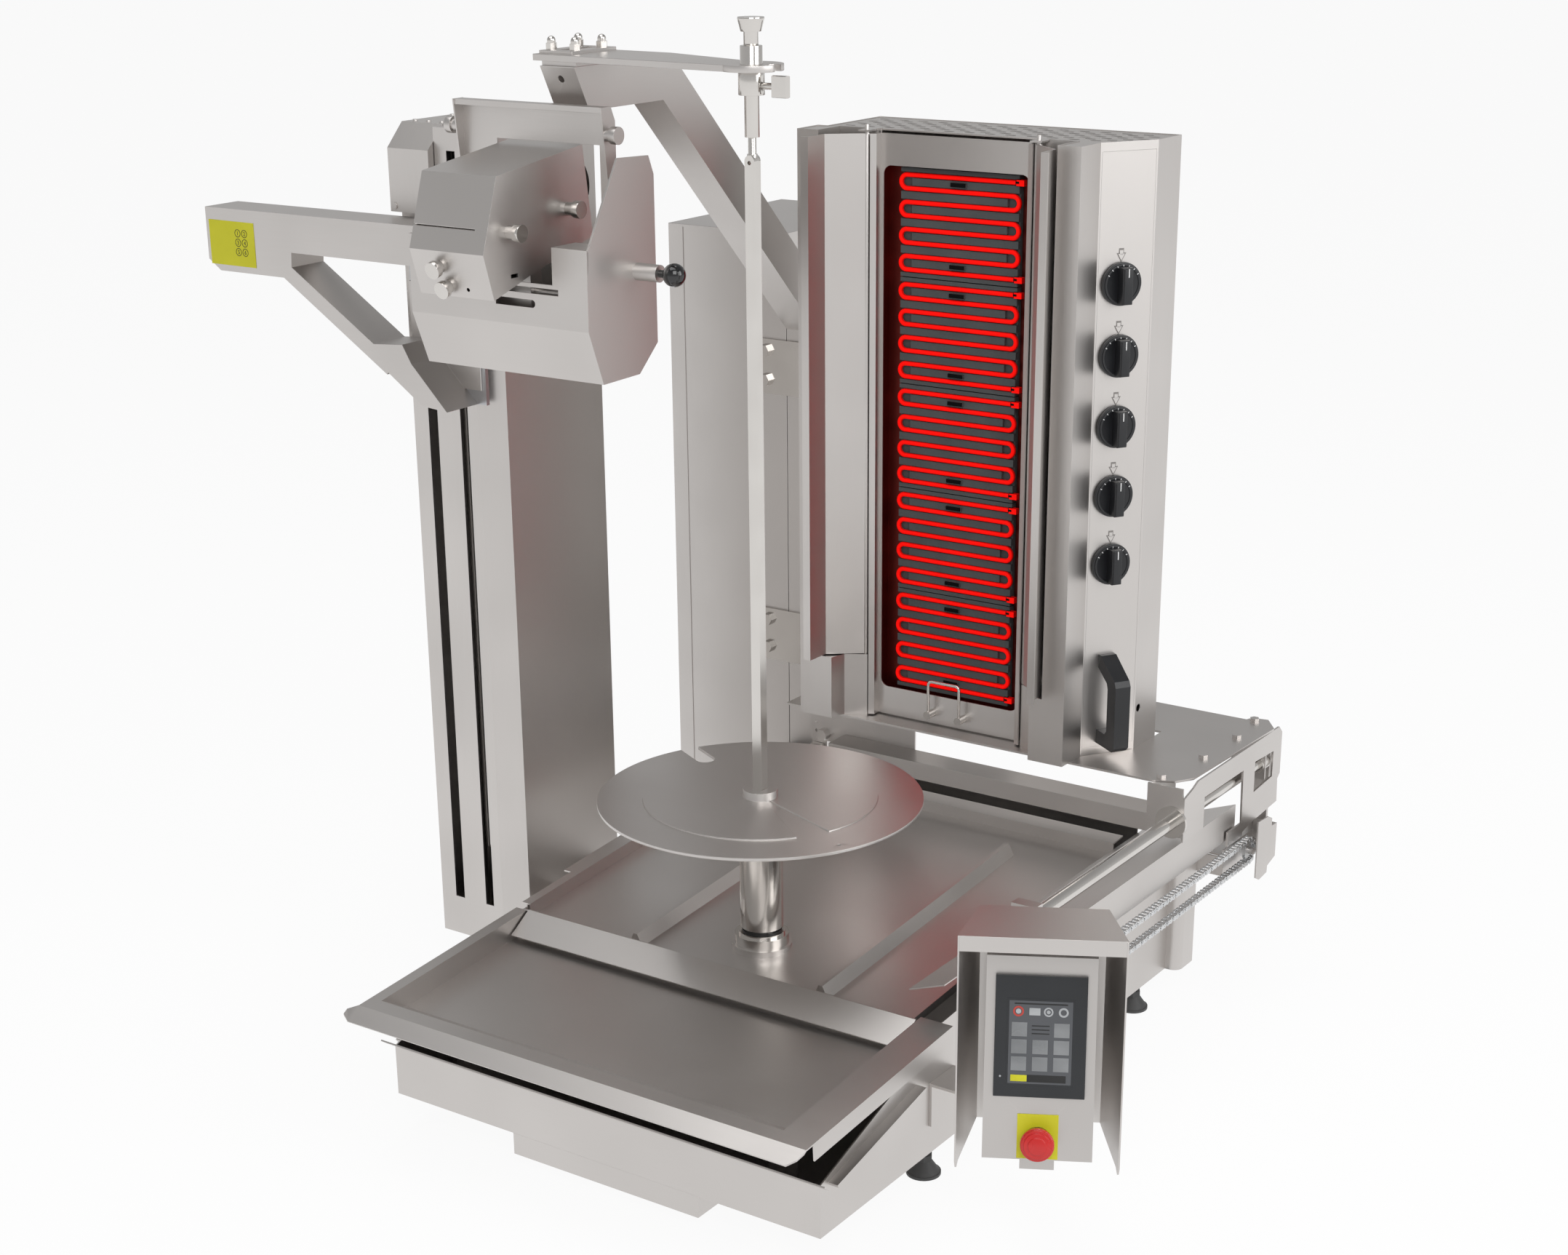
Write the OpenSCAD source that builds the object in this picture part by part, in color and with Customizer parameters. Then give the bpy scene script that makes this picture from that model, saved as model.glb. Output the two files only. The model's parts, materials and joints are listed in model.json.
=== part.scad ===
// Electric doner grill: turntable spit, sliding electric heater, slicing head on a lift column.
// Millimetres. Origin on the floor under the spit axis, X right, Y back, Z up.

/* [Base] */
// Half of the width of the base over its side walls
base_half_w = 336; // [326:1:342]
// Distance from the spit axis to the front apron
base_front = 366; // [356:1:370]
// Distance from the spit axis to the back wall of the base
base_back = 546; // [538:1:552]
// Height of the underside of the base above the floor
base_z = 49; // [44:1:56]
// Height of the top edge of the front apron
apron_z = 120; // [112:1:126]
// Thickness of the folded sheet
sheet = 2; // [1.5:0.5:2.5]
// Width of the drive box that hangs under the base
drive_box_w = 294; // [280:1:310]
// Depth that the drive box hangs down
drive_box_h = 30; // [26:1:34]
// Diameter of a foot on the floor
foot_d = 45; // [38:1:52]
// Distance from the spit axis to the rear pair of feet
foot_back_y = 496; // [480:1:506]
// Distance of the front pair of feet in front of the spit axis
foot_front_y = 88; // [70:1:120]

/* [Tray and pan] */
// Slope of the tray and the pan, down to the front
tray_tilt = 4.07; // [3.5:0.1:4.6]
// Height of the tray rim at the spit axis
rim_z = 227; // [223:1:231]
// Depth of the front pan
pan_depth = 30; // [25:1:32]
// Distance from the spit axis to the fold in front of the pan
pan_front = 420; // [410:1:428]
// Width of the sloping lip in front of the pan
pan_lip = 27; // [20:1:34]
// Depth of the tray floor under its rim
tray_depth = 17; // [14:1:20]
// Distance of each tray rib from the spit axis
rib_x = 150; // [130:1:170]
// Height of the top edge of the skirt under the guide rod
skirt_z = 294; // [291:1:297]
// Distance from the spit axis to the outside of the skirt
skirt_x = 398; // [396:1:399]

/* [Turntable] */
// Diameter of the turntable disc
disc_d = 430; // [400:1:440]
// Thickness of the turntable disc
disc_t = 4; // [3:0.5:5]
// Height of the top of the disc
disc_z = 423; // [418:1:428]
// Diameter of the shaft tube
tube_d = 58; // [52:1:62]
// Diameter of the neck that runs in the collar
neck_d = 46; // [40:1:48]
// Diameter of the shaft collar
collar_d = 73; // [66:1:80]
// Side of the square spit
spit_w = 14; // [12:0.5:16]
// Distance from the arm plate down to the top of the square spit
spit_drop = 105; // [99:1:115]

/* [Spit holder] */
// Height of the top face of the arm plate
plate_z = 1355; // [1352:1:1360]
// Thickness of the arm plate
plate_t = 8; // [6:1:10]
// Side of the square arm tube
arm_w = 55; // [50:1:56]
// Distance from the spit axis to the near side of the arm tube
arm_x = 270; // [269:1:276]
// Wall of the arm tube
arm_wall = 3; // [2:0.5:4]
// Diameter of the lifting pin
lift_d = 18; // [16:1:19]
// Travel of the lifting pin
lift_travel = 45; // [35:1:48]

/* [Heater] */
// Height of the carriage plate that carries the heater
deck_z = 378; // [376:1:380]
// Height of the top of the heater
heater_z = 1229; // [1225:1:1235]
// Distance from the spit axis to the heater front panel
panel_y = 480; // [479:1:482]
// Half of the width of the opening in the front panel
window_half = 115; // [108:1:116]
// Height of the lower edge of the opening
window_z0 = 423; // [420:1:430]
// Height of the upper edge of the opening
window_z1 = 1180; // [1170:1:1184]
// Number of heating zones
zones = 5; // [4:1:5]
// Straight runs of element in a zone
runs = 8; // [6:2:8]
// Diameter of a heating element
element_d = 6.6; // [6:0.2:7]
// Diameter of a control knob
knob_d = 58; // [50:1:62]
// Distance between neighbouring knobs
knob_pitch = 96.5; // [90:0.5:98]
// Height of the lowest knob
knob_z = 658; // [650:1:666]
// Height of the lower edge of the wings
wing_z0 = 474; // [473:1:480]

/* [Heater carriage] */
// Diameter of the guide rod
rod_d = 20; // [18:0.5:22]
// Distance from the spit axis to the guide rod
rod_x = 385; // [384:0.5:386]
// Height of the guide rod
rod_z = 325; // [323:1:328]
// Forward travel of the heater
heater_travel = 180; // [120:10:180]
// Pitch of the roller chain
chain_pitch = 9.525; // [9.525]
// Teeth of each sprocket
sprocket_teeth = 11; // [9:1:11]
// Distance from the spit axis to the rear sprocket
sprocket_y = 650; // [648:1:652]
// Height of both sprockets
sprocket_z = 217; // [215:1:219]

/* [Slicing head] */
// Distance from the spit axis to the front of the lift column
column_y = 58; // [57:1:62]
// Depth of the lift column
column_d = 227; // [200:1:240]
// Top of the lift column
column_z = 1247; // [1240:1:1252]
// Travel of the slicing head down the column
head_travel = 500; // [400:10:500]
// Sideways travel of the blade box
blade_travel = 36; // [20:1:38]
// Diameter of the round blade
blade_d = 90; // [70:1:96]
// Diameter of a thumb knob
thumb_d = 22; // [18:1:24]

/* [Control panel] */
// Angle that the control panel is turned to the right
panel_turn = 28; // [25:1:31]
// Tilt of the control box, leaning back
panel_tilt = 12; // [9:1:14]
// Width of the control box
box_w = 126; // [120:1:132]
// Height of the control box
box_h = 238; // [230:1:242]
// Width of the hood over the control box
hood_w = 190; // [180:1:200]
// Diameter of the stop button
stop_d = 40; // [36:1:42]

/* [Hidden] */
$fn = 48;

// Clearances and small shared sizes
spit_z = plate_z - spit_drop;
seat = 0.3;
running = 0.05;
small = 0.01;
slope = tan(tray_tilt);

// Colours
steel = [0.74, 0.73, 0.72];
dark_steel = [0.45, 0.44, 0.43];
black = [0.1, 0.1, 0.11];
ceramic_grey = [0.28, 0.28, 0.29];
glow = [0.95, 0.08, 0.05];
chrome_tone = [0.86, 0.85, 0.84];

// Heights on the sloping tray plane
function rim_at(y) = rim_z + slope * y;

// Left normal of the segment from a to b
function normal_of(a, b) = [a[1] - b[1], b[0] - a[0]] / norm(b - a);

// Point i of path p moved by t to the left, with mitred corners
function moved(p, i, t) =
    let (last = len(p) - 1,
         n1 = i > 0 ? normal_of(p[i - 1], p[i]) : normal_of(p[0], p[1]),
         n2 = i < last ? normal_of(p[i], p[i + 1]) : n1)
    p[i] + t * (n1 + n2) / (1 + n1 * n2);

// Outline of folded sheet of thickness t to the left of path p
function folded(p, t) = concat(p, [for (i = [len(p) - 1:-1:0]) moved(p, i, t)]);

// Outline of a band of width w centred on path p
function band(p, w) = concat(
    [for (i = [0:len(p) - 1]) moved(p, i, -w / 2)],
    [for (i = [len(p) - 1:-1:0]) moved(p, i, w / 2)]);

// Closed outline p, drawn anticlockwise, moved inwards by t
function inset(p, t) =
    let (n = len(p))
    [for (i = [0:n - 1])
        let (n1 = normal_of(p[(i + n - 1) % n], p[i]), n2 = normal_of(p[i], p[(i + 1) % n]))
        p[i] + t * (n1 + n2) / (1 + n1 * n2)];

// Path p mirrored left to right
function mirrored(p) = [for (i = [len(p) - 1:-1:0]) [-p[i][0], p[i][1]]];

module box(x0, x1, y0, y1, z0, z1) {
    translate([x0, y0, z0]) cube([x1 - x0, y1 - y0, z1 - z0]);
}

// Outline in Y and Z, extruded from x0 to x1
module prism_x(pts, x0, x1) {
    translate([x0, 0, 0]) rotate([90, 0, 90]) linear_extrude(x1 - x0) polygon(pts);
}

// Outline in X and Z, extruded from y0 to y1
module prism_y(pts, y0, y1) {
    translate([0, y1, 0]) rotate([90, 0, 0]) linear_extrude(y1 - y0) polygon(pts);
}

// Outline in X and Y, extruded from z0 to z1
module prism_z(pts, z0, z1) {
    translate([0, 0, z0]) linear_extrude(z1 - z0) polygon(pts);
}

module bar_x(x0, x1, y, z, d) {
    translate([x0, y, z]) rotate([0, 90, 0]) cylinder(h = x1 - x0, d = d);
}

module bar_y(y0, y1, x, z, d) {
    translate([x, y0, z]) rotate([-90, 0, 0]) cylinder(h = y1 - y0, d = d);
}

module bar_z(z0, z1, x, y, d) {
    translate([x, y, z0]) cylinder(h = z1 - z0, d = d);
}

// Six-sided head of width w across its corners, along +Z
module hex_head(w, h) {
    cylinder(h = h, d = w, $fn = 6);
}

// Places children on the tilted plane of the tray
module on_slope() {
    translate([0, 0, rim_z]) rotate([tray_tilt, 0, 0]) children();
}

// Base
base_top_y = -150;
drive_box_x = 9;
lip_x = base_half_w + 14;
pan_back = 90;

module base_side() {
    low = sheet + seat;
    prism_x([[-base_front, base_z], [-base_front, apron_z], [base_top_y, rim_at(base_top_y) - 26],
             [base_top_y, rim_at(base_top_y) - low], [-pan_back, rim_at(-pan_back) - low],
             [-pan_back, rim_at(-pan_back)], [base_back, rim_at(base_back)],
             [base_back, base_z]], 0, sheet);
}

module base_chassis() {
    color(steel) difference() {
        union() {
            translate([base_half_w - sheet, 0, 0]) base_side();
            translate([-base_half_w, 0, 0]) base_side();
            box(-base_half_w, base_half_w, -base_front, sheet - base_front, base_z, apron_z);
            // Back wall, lower where the rail skirt passes over it
            box(-base_half_w, skirt_inner_x - 1, base_back - sheet, base_back, base_z,
                rim_at(base_back) - sheet);
            box(-base_half_w, base_half_w, base_back - sheet, base_back, base_z, skirt_z - 46);
            box(-base_half_w, base_half_w, -base_front, base_back, base_z, base_z + sheet);
            base_gutter();
            for (side = [-1, 1]) base_flange(side);
            for (side = [-1, 1]) pan_rest(side);
            for (x = [-foot_x, foot_x], y = [-foot_front_y, foot_back_y])
                bar_z(base_z, base_z + 14, x, y, 30);
        }
        for (x = [-foot_x, foot_x], y = [-foot_front_y, foot_back_y])
            bar_z(base_z - 1, base_z + 20, x, y, foot_stem_d + 2 * running);
        box(motor_x0 - 4, motor_x1 + 4, motor_y0 - 4, motor_y1 + 4, base_z - 1, base_z + 10);
    }
}

// Flared lip along the top of the front apron
module base_gutter() {
    prism_x(folded([[-base_front - 12, apron_z + 7], [-base_front, apron_z - sheet]], sheet),
            -lip_x, lip_x);
}

// Flange folded outwards along the sloping top edge of a side wall
module base_flange(side) {
    x0 = side > 0 ? base_half_w - sheet : -base_half_w - 14;
    prism_x([[-base_front + 18, apron_z - 6], [-base_front + 16, apron_z - 2],
             [base_top_y, rim_at(base_top_y) - 56], [base_top_y, rim_at(base_top_y) - 60]],
            x0, x0 + 14 + sheet);
}

// Upright inside the base that carries the front of the pan
module pan_rest(side) {
    y = -318;
    top = rim_at(y - 14) - (pan_depth + sheet) / cos(tray_tilt) - seat;
    box(side * 250 - 20, side * 250 + 20, y - 1, y + 2, base_z, top);
    box(side * 250 - 20, side * 250 + 20, y - 14, y + 2, top - 2, top);
}

foot_x = base_half_w - 26;
foot_stem_d = 12;

// Drive box, a folded cover under the base
module drive_box() {
    x0 = drive_box_x - drive_box_w / 2;
    x1 = drive_box_x + drive_box_w / 2;
    z0 = base_z - drive_box_h;
    color(steel) difference() {
        box(x0, x1, -base_front, 190, z0, base_z);
        box(x0 + sheet, x1 - sheet, sheet - base_front, 190 - sheet, z0 + sheet, base_z + 1);
    }
}

// Four feet with threaded stems, as one group
module adjustable_feet() {
    color(dark_steel) for (x = [-foot_x, foot_x], y = [-foot_front_y, foot_back_y])
        translate([x, y, 0]) {
            cylinder(h = 4, d = foot_d);
            translate([0, 0, 4]) cylinder(h = 16, d1 = foot_d - 3, d2 = 20);
            cylinder(h = base_z + 12, d = foot_stem_d);
            translate([0, 0, 20]) hex_head(24, 8);
        }
}

// Tray
tray_right = 292;
tray_back = 470;
tray_front = 100;

module main_tray() {
    color(steel) difference() {
        union() {
            on_slope() tray_sheet();
            // Level seat around the shaft
            bar_z(rim_z - tray_depth - 8, collar_z0, 0, 0, collar_d + 8);
        }
        bar_z(rim_z - 60, rim_z + 20, 0, 0, collar_d - 8);
        // Corner under the rail skirt
        on_slope() box(skirt_inner_x - 1, 300, tray_back - 6, tray_back + 40, -12, 5);
    }
}

module tray_sheet() {
    // Lip that hangs into the pan
    prism_x(folded([[-140, -21], [-tray_front, 0], [-tray_front + 2, 0]], -sheet),
            -base_half_w + 12, 303);
    // Floor with its front ridge and back wall
    prism_x(folded([[-tray_front, 0], [-tray_front + 14, -tray_depth],
                    [tray_back, -tray_depth], [tray_back, 0],
                    [tray_back + 30, 0]], -sheet), -base_half_w + sheet + 1, tray_right);
    // Left wall with a stepped flange over the side of the base
    box(-base_half_w + sheet + 1, -base_half_w + 2 * sheet + 1, -tray_front + 12, tray_back,
        -tray_depth - sheet, 0);
    box(-base_half_w - 9, -base_half_w + 2 * sheet + 1, -tray_front + 12, tray_back, 0, sheet);
    box(-base_half_w - 21, -base_half_w, 20, tray_back, 0, sheet);
    // Low right wall under the skirt
    box(tray_right - sheet, tray_right, -tray_front + 14, tray_back, -tray_depth, -8);
    for (side = [-1, 1]) tray_rib(side);
}

// Rib that carries fat to the front, folded to a ridge
module tray_rib(side) {
    x = side * rib_x;
    prism_y([[x - 11, -tray_depth], [x - 3, 0], [x + 3, 0], [x + 11, -tray_depth]], -85, 400);
}

// Pan
module front_pan() {
    inner_left = base_half_w - 10;
    inner_right = 305;
    rim_left = -inner_left - 18;
    rim_right = inner_right + 47;
    color(steel) on_slope() {
        // Lip, front rim, front wall, floor and low back upstand
        prism_x(folded([[-pan_front - pan_lip * cos(lip_fall), -pan_lip * sin(lip_fall)], [-pan_front, 0],
                        [-pan_front + 23, 0], [-pan_front + 67, -pan_depth], [-127, -pan_depth],
                        [-127, -pan_depth + 6]], -sheet),
                -inner_left, inner_right);
        pan_side(-inner_left - sheet, -tray_front - 2);
        pan_side(inner_right, -pan_back - 1);
        // Left rim with the tapered tip of the lip
        difference() {
            pan_rim(rim_left - 13, -inner_left, -tray_front - 2);
            prism_z([[rim_left, 0], [rim_left, -pan_front], [rim_left - 13, -pan_front - 9],
                     [rim_left - 30, -pan_front - 9], [rim_left - 30, 0]], -20, 20);
            prism_z([[rim_left - 14, -pan_front - 16], [rim_left + 6, -pan_front - pan_lip],
                     [rim_left - 30, -pan_front - pan_lip], [rim_left - 30, -pan_front - 16]], -20, 20);
        }
        // Right rim with its blunted lip corner and turned down flange
        difference() {
            pan_rim(inner_right, rim_right, -pan_back - 1);
            prism_z([[rim_right - 14, -pan_front - 30], [rim_right - 14, -pan_front - 24],
                     [rim_right - 4, -pan_front - 14], [rim_right + 2, -pan_front + 1],
                     [rim_right + 20, -pan_front - 30]], -20, 20);
        }
        box(rim_right - sheet, rim_right, -pan_front + 16, -pan_back - 1, -24, 0);
    }
}

// End wall of the pan
module pan_side(x, y1) {
    prism_x([[-pan_front + 20, -sheet], [-pan_front + 65, -pan_depth - sheet], [-127, -pan_depth - sheet],
             [y1, 0], [-pan_front + 20, 0]], x, x + sheet);
}

// Rim beside the basin, folded down to the lip in front
lip_fall = 26;

module pan_rim(x0, x1, y1) {
    prism_x(folded([[-pan_front - pan_lip * cos(lip_fall), -pan_lip * sin(lip_fall)], [-pan_front, 0],
                    [y1, 0]], -sheet), x0, x1);
}

// Skirt under the guide rod, sloping into the tray
skirt_back = 625;
skirt_inner_x = 284;

module rail_skirt() {
    slope_in = [[skirt_x, skirt_z], [skirt_inner_x, skirt_z - 42]];
    color(steel) {
        prism_y(folded([[base_half_w + 0.7, skirt_z - 68], [skirt_x, skirt_z - 47],
                        slope_in[0], slope_in[1]], sheet), 60, skirt_back);
        difference() {
            prism_y(folded(slope_in, sheet), -86, 60);
            box(base_half_w, skirt_x + 10, -90, 61, skirt_z - 80, skirt_z + 10);
        }
    }
}

// Spit drive
motor_x0 = -70;
motor_x1 = 70;
motor_y0 = -75;
motor_y1 = 120;
motor_z0 = base_z - drive_box_h + sheet;
collar_z0 = rim_z - tray_depth + 6;
collar_z1 = collar_z0 + 14;
shaft_d = 30;

module shaft_collar() {
    color(chrome_tone) difference() {
        union() {
            bar_z(collar_z0, collar_z1, 0, 0, collar_d);
            bar_z(collar_z1, collar_z1 + 4, 0, 0, collar_d - 10);
            bar_z(rim_z - tray_depth - 26, collar_z1, 0, 0, collar_d - 9);
        }
        bar_z(rim_z - 80, collar_z1 - 2, 0, 0, neck_d + 2 * running);
        bar_z(collar_z1 - 3, collar_z1 + 5, 0, 0, neck_d + 8);
    }
}

module shaft_seal() {
    color(black) difference() {
        bar_z(collar_z1 - 2, collar_z1 + 6, 0, 0, neck_d + 8);
        bar_z(collar_z1 - 3, collar_z1 + 7, 0, 0, neck_d + 2 * running);
    }
}

// Worm gearmotor that turns the spit, seated in the drive box
module spit_gearmotor() {
    gearbox_z1 = 150;
    color(dark_steel) difference() {
        union() {
            box(motor_x0, motor_x1, motor_y0, motor_y1, motor_z0, motor_z0 + 12);
            box(-50, 50, -55, 55, motor_z0 + 12, gearbox_z1);
            bar_y(55, 190, 0, 98, 86);
            bar_z(gearbox_z1, rim_z - tray_depth - 26, 0, 0, neck_d + 24);
        }
        bar_z(gearbox_z1 - 60, rim_z, 0, 0, shaft_d + 2 * running);
    }
}

module shaft_tube() {
    z0 = collar_z1 + 10;
    color(chrome_tone) {
        bar_z(90 + seat, z0, 0, 0, shaft_d);
        bar_z(rim_z - tray_depth - 26 + seat, z0 + 10, 0, 0, neck_d);
        bar_z(z0, disc_z - disc_t - 6, 0, 0, tube_d);
        bar_z(disc_z - disc_t - 6, disc_z - disc_t, 0, 0, tube_d + 24);
    }
}

// Turntable disc with two raised sectors and a notch in its rim
module spit_disc() {
    r = disc_d / 2;
    raise = 1.6;
    color(steel) difference() {
        union() {
            bar_z(disc_z - disc_t, disc_z, 0, 0, disc_d);
            disc_sector(216, 322, 155, raise);
            disc_sector(-21, 35, 155, raise);
            bar_z(disc_z, disc_z + 12, 0, 0, 46);
        }
        rotate([0, 0, 152]) translate([r - 50, -13, disc_z - 20]) cube([60, 26, 40]);
        rotate([0, 0, 152]) translate([r - 50, 0, disc_z - 20]) cylinder(h = 40, d = 26);
        translate([-spit_w / 2, -spit_w / 2, disc_z + 2]) cube([spit_w, spit_w, 20]);
        bar_z(disc_z - 10, disc_z + 10, 179, -85, 5);
    }
}

module disc_sector(a0, a1, r, h) {
    steps = 6;
    translate([0, 0, disc_z]) intersection() {
        cylinder(h = h, r = r);
        linear_extrude(h + 1) polygon(concat([[0, 0]], [for (i = [0:steps])
            let (a = a0 + (a1 - a0) * i / steps) 1.3 * r * [cos(a), sin(a)]]));
    }
}

// Square spit with a pin on top and a cross hole
pin_d = 10;

module spit_bar() {
    h = spit_z - disc_z - 2;
    color(chrome_tone) difference() {
        union() {
            intersection() {
                translate([-spit_w / 2, -spit_w / 2, disc_z + 2]) cube([spit_w, spit_w, h]);
                union() {
                    bar_z(disc_z, spit_z - 8, 0, 0, 2 * spit_w);
                    bar_y(-spit_w, spit_w, 0, spit_z - 8, spit_w);
                    translate([0, 0, spit_z - 8]) cylinder(h = 8, d = spit_w - 1);
                }
            }
            bar_z(spit_z - 4, spit_z + 56, 0, 0, pin_d);
        }
        bar_y(-spit_w, spit_w, 0, spit_z - 10, 5);
    }
}

// Spit holder
arm_y = base_back + arm_w / 2;
arm_z = plate_z - plate_t - 7 - arm_w / 2;
arm_mid = -arm_x - arm_w / 2;
arm_bend = 1507 - arm_z;
arm_low = 70;

function arm_path(low) = [[0, arm_z], [arm_bend, arm_z],
                          [arm_y, arm_z + arm_bend - arm_y], [arm_y, low]];

module arm_tube() {
    low = arm_low;
    inner = arm_w - 2 * arm_wall;
    top = arm_z + arm_w / 2;
    color(steel) difference() {
        prism_x(band(arm_path(low), arm_w), -arm_x - arm_w, -arm_x);
        intersection() {
            prism_x(band(arm_path(low), inner), -arm_x - arm_w + arm_wall, -arm_x - arm_wall);
            box(-arm_x - arm_w, -arm_x, 32, 700, low + arm_wall, 2000);
        }
        // Bevelled front end
        prism_x([[-1, top + 1], [28, top - arm_w - 1], [-30, top - arm_w - 1], [-30, top + 1]],
                -arm_x - arm_w - 1, -arm_x + 1);
        bar_y(-10, 24, arm_mid, top - 16, 9);
    }
}

nut_dx = 19;
nut_y0 = 14;
nut_y1 = 68;

// Arm plate over the spit, with its spacer and slotted clamp plate
module top_arm_plate() {
    z0 = plate_z - plate_t;
    x0 = -arm_x - arm_w;
    color(chrome_tone) {
        difference() {
            union() {
                prism_z([[x0 - 3, -10], [-30, -30], [6, -30], [6, 34], [-30, 34], [-181, 84], [x0 - 3, 92]],
                        z0, plate_z);
                bar_z(z0, plate_z, 0, 2, 76);
            }
            bar_z(z0 - 1, plate_z + 1, 0, 0, bush_d + 2 * running);
            translate([30, 2, z0 - 1]) cylinder(h = plate_t + 2, d = 14);
            box(30, 50, -5, 9, z0 - 1, plate_z + 1);
        }
        box(x0, -arm_x, 4, 84, z0 - 7, z0);
        difference() {
            box(x0 + 1, -arm_x - 1, -2, 88, plate_z, plate_z + 4);
            box(arm_mid - 8, arm_mid + 8, 10, 74, plate_z - 1, plate_z + 5);
        }
    }
}

// Dome nuts, cabinet clamp plates and their bolts, as one group
module frame_clamps() {
    clamp_y = base_back;
    color(chrome_tone) {
        for (x = [arm_mid - nut_dx, arm_mid + nut_dx], y = [nut_y0, nut_y1])
            translate([x, y, plate_z + 4]) {
                hex_head(15, 8);
                translate([0, 0, 7]) cylinder(h = 4, d = 11);
                translate([0, 0, 11]) sphere(d = 11);
            }
        for (z = [405, 823]) {
            box(-arm_x - 125, -arm_x, clamp_y - 4, clamp_y, z, z + 82);
            for (h = [21, 65])
                translate([-arm_x - 90, clamp_y - 4, z + h]) rotate([90, 0, 0]) hex_head(19, 8);
        }
    }
}

// Bearing body under the plate and bush above it
bush_d = 27;

module top_bearing() {
    z0 = plate_z - 36;
    color(chrome_tone) difference() {
        union() {
            bar_z(z0, plate_z - plate_t, 0, 0, 32);
            bar_z(plate_z - plate_t - 1, plate_z + 21, 0, 0, bush_d);
        }
        bar_z(z0 - 1, plate_z + 22, 0, 0, lift_d + 2 * running);
        bar_x(5, 20, 0, z0 + 11, 8 + 2 * running);
    }
}

// Lifting pin that centres the spit, with its knob
module lifting_pin() {
    z0 = spit_z + 20;
    knob_z0 = plate_z + 37;
    color(chrome_tone) difference() {
        union() {
            bar_z(z0, knob_z0 + 2, 0, 0, lift_d);
            translate([0, 0, knob_z0]) cylinder(h = 15, d1 = 25, d2 = 33);
            bar_z(knob_z0 + 15, knob_z0 + 16.5, 0, 0, 32);
        }
        bar_z(z0 - 1, spit_z + 62, 0, 0, pin_d + 2 * running);
    }
}

// Clamp screw with an oval wing
module wing_screw() {
    z = plate_z - 25;
    x0 = lift_d / 2 + seat;
    color(chrome_tone) {
        bar_x(x0, 36, 0, z, 8);
        translate([32, 0, z]) intersection() {
            rotate([0, 90, 0]) cylinder(h = 20, d = 26);
            translate([0, -5, -14]) cube([20, 10, 28]);
        }
    }
}

// Back cabinet
module back_cabinet() {
    x1 = -arm_x - arm_w - 1;
    x0 = x1 - 214;
    y0 = base_back;
    y1 = y0 + 303;
    z0 = 60;
    z1 = 1062;
    seam = x0 + 28;
    color(steel) {
        difference() {
            box(x0, x1, y0, y1, z0, z1);
            box(x0 + sheet, x1 - sheet, y0 + sheet, y1 - sheet, z0 + sheet, z1 - sheet);
            box(seam - 1, seam + 1, y0 - 1, y0 + 1, z0 + 4, z1 - 4);
        }
        // Brackets that hold the cabinet to the back of the base
        for (z = [z0 + 20, z0 + 110])
            box(x1, -arm_x - arm_w, y0 + 20, y0 + 50, z, z + 30);
    }
}

// Heater carriage
deck_t = 3;
deck_left = -262;
side_x = skirt_x + 2;
bearing_y = [441, 717];
beam_y = 466;

module carriage_plate() {
    outline = [[deck_left, 446], [350, 446], [379, 458], [395, 484], [side_x + 3, 735], [380, 766],
               [356, 762], [352, 751], [deck_left, 751]];
    color(steel) {
        difference() {
            prism_z(outline, deck_z - deck_t, deck_z);
            box(240, 271, 609, 635, deck_z - 5, deck_z + 5);
            box(-60, 60, 540, 590, deck_z - 5, deck_z + 5);
            for (x = [-wing_px, wing_px]) bar_z(deck_z - 5, deck_z + 5, x, wing_py, pin_hole_d);
        }
        for (p = [[356, 462], [370, 566], [374, 669], [365, 750]])
            translate([p[0], p[1], deck_z]) hex_head(14, 5);
    }
}

// Folded side plate with its windows and the two bearing plates
module carriage_side_plate() {
    top = deck_z - deck_t;
    low = skirt_z + 3;
    color(steel) {
        difference() {
            prism_x([[441, low], [506, low], [506, top - 31], [634, top - 31], [638, 246], [680, 252],
                     [760, 257], [758, 293], [766, 300], [766, 364], [755, top], [484, top],
                     [470, top - 6], [441, top - 14]], side_x, side_x + 3);
            prism_x([[674, 298], [738, 303], [738, 342], [674, 345]], side_x - 1, side_x + 4);
        }
        for (y = bearing_y) difference() {
            box(346, side_x, y, y + 3, rod_z - 22, top);
            bar_y(y - 1, y + 4, rod_x, rod_z, bearing_d + 2 * small);
        }
        // Gusset that carries the cross beam
        box(352, 355, bearing_y[0], beam_y + 46, rod_z - 20, top);
        // Clamp that holds the upper strand of the chain
        box(side_x, side_x + 3, 592, 642, chain_top_z + 6, 262);
    }
}

bearing_d = 28;

module rod_bearings() {
    color(chrome_tone) for (y = bearing_y) difference() {
        union() {
            bar_y(y - 5, y + 22, rod_x, rod_z, bearing_d);
            if (y == bearing_y[0]) bar_y(y - 5, y, rod_x, rod_z, 46);
        }
        bar_y(y - 6, y + 23, rod_x, rod_z, rod_d + 2 * running);
    }
}

// Square beam that joins both sides of the carriage
module cross_beam() {
    color(steel) difference() {
        box(-200, 352, beam_y, beam_y + 46, rod_z - 33, rod_z - 6);
        box(-197, 349, beam_y + 3, beam_y + 43, rod_z - 30, rod_z - 9);
    }
}

// Left bracket with its runner over the guide bar
bar_x0 = -258;
bar_x1 = -240;
bar_z1 = 296;

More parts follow.
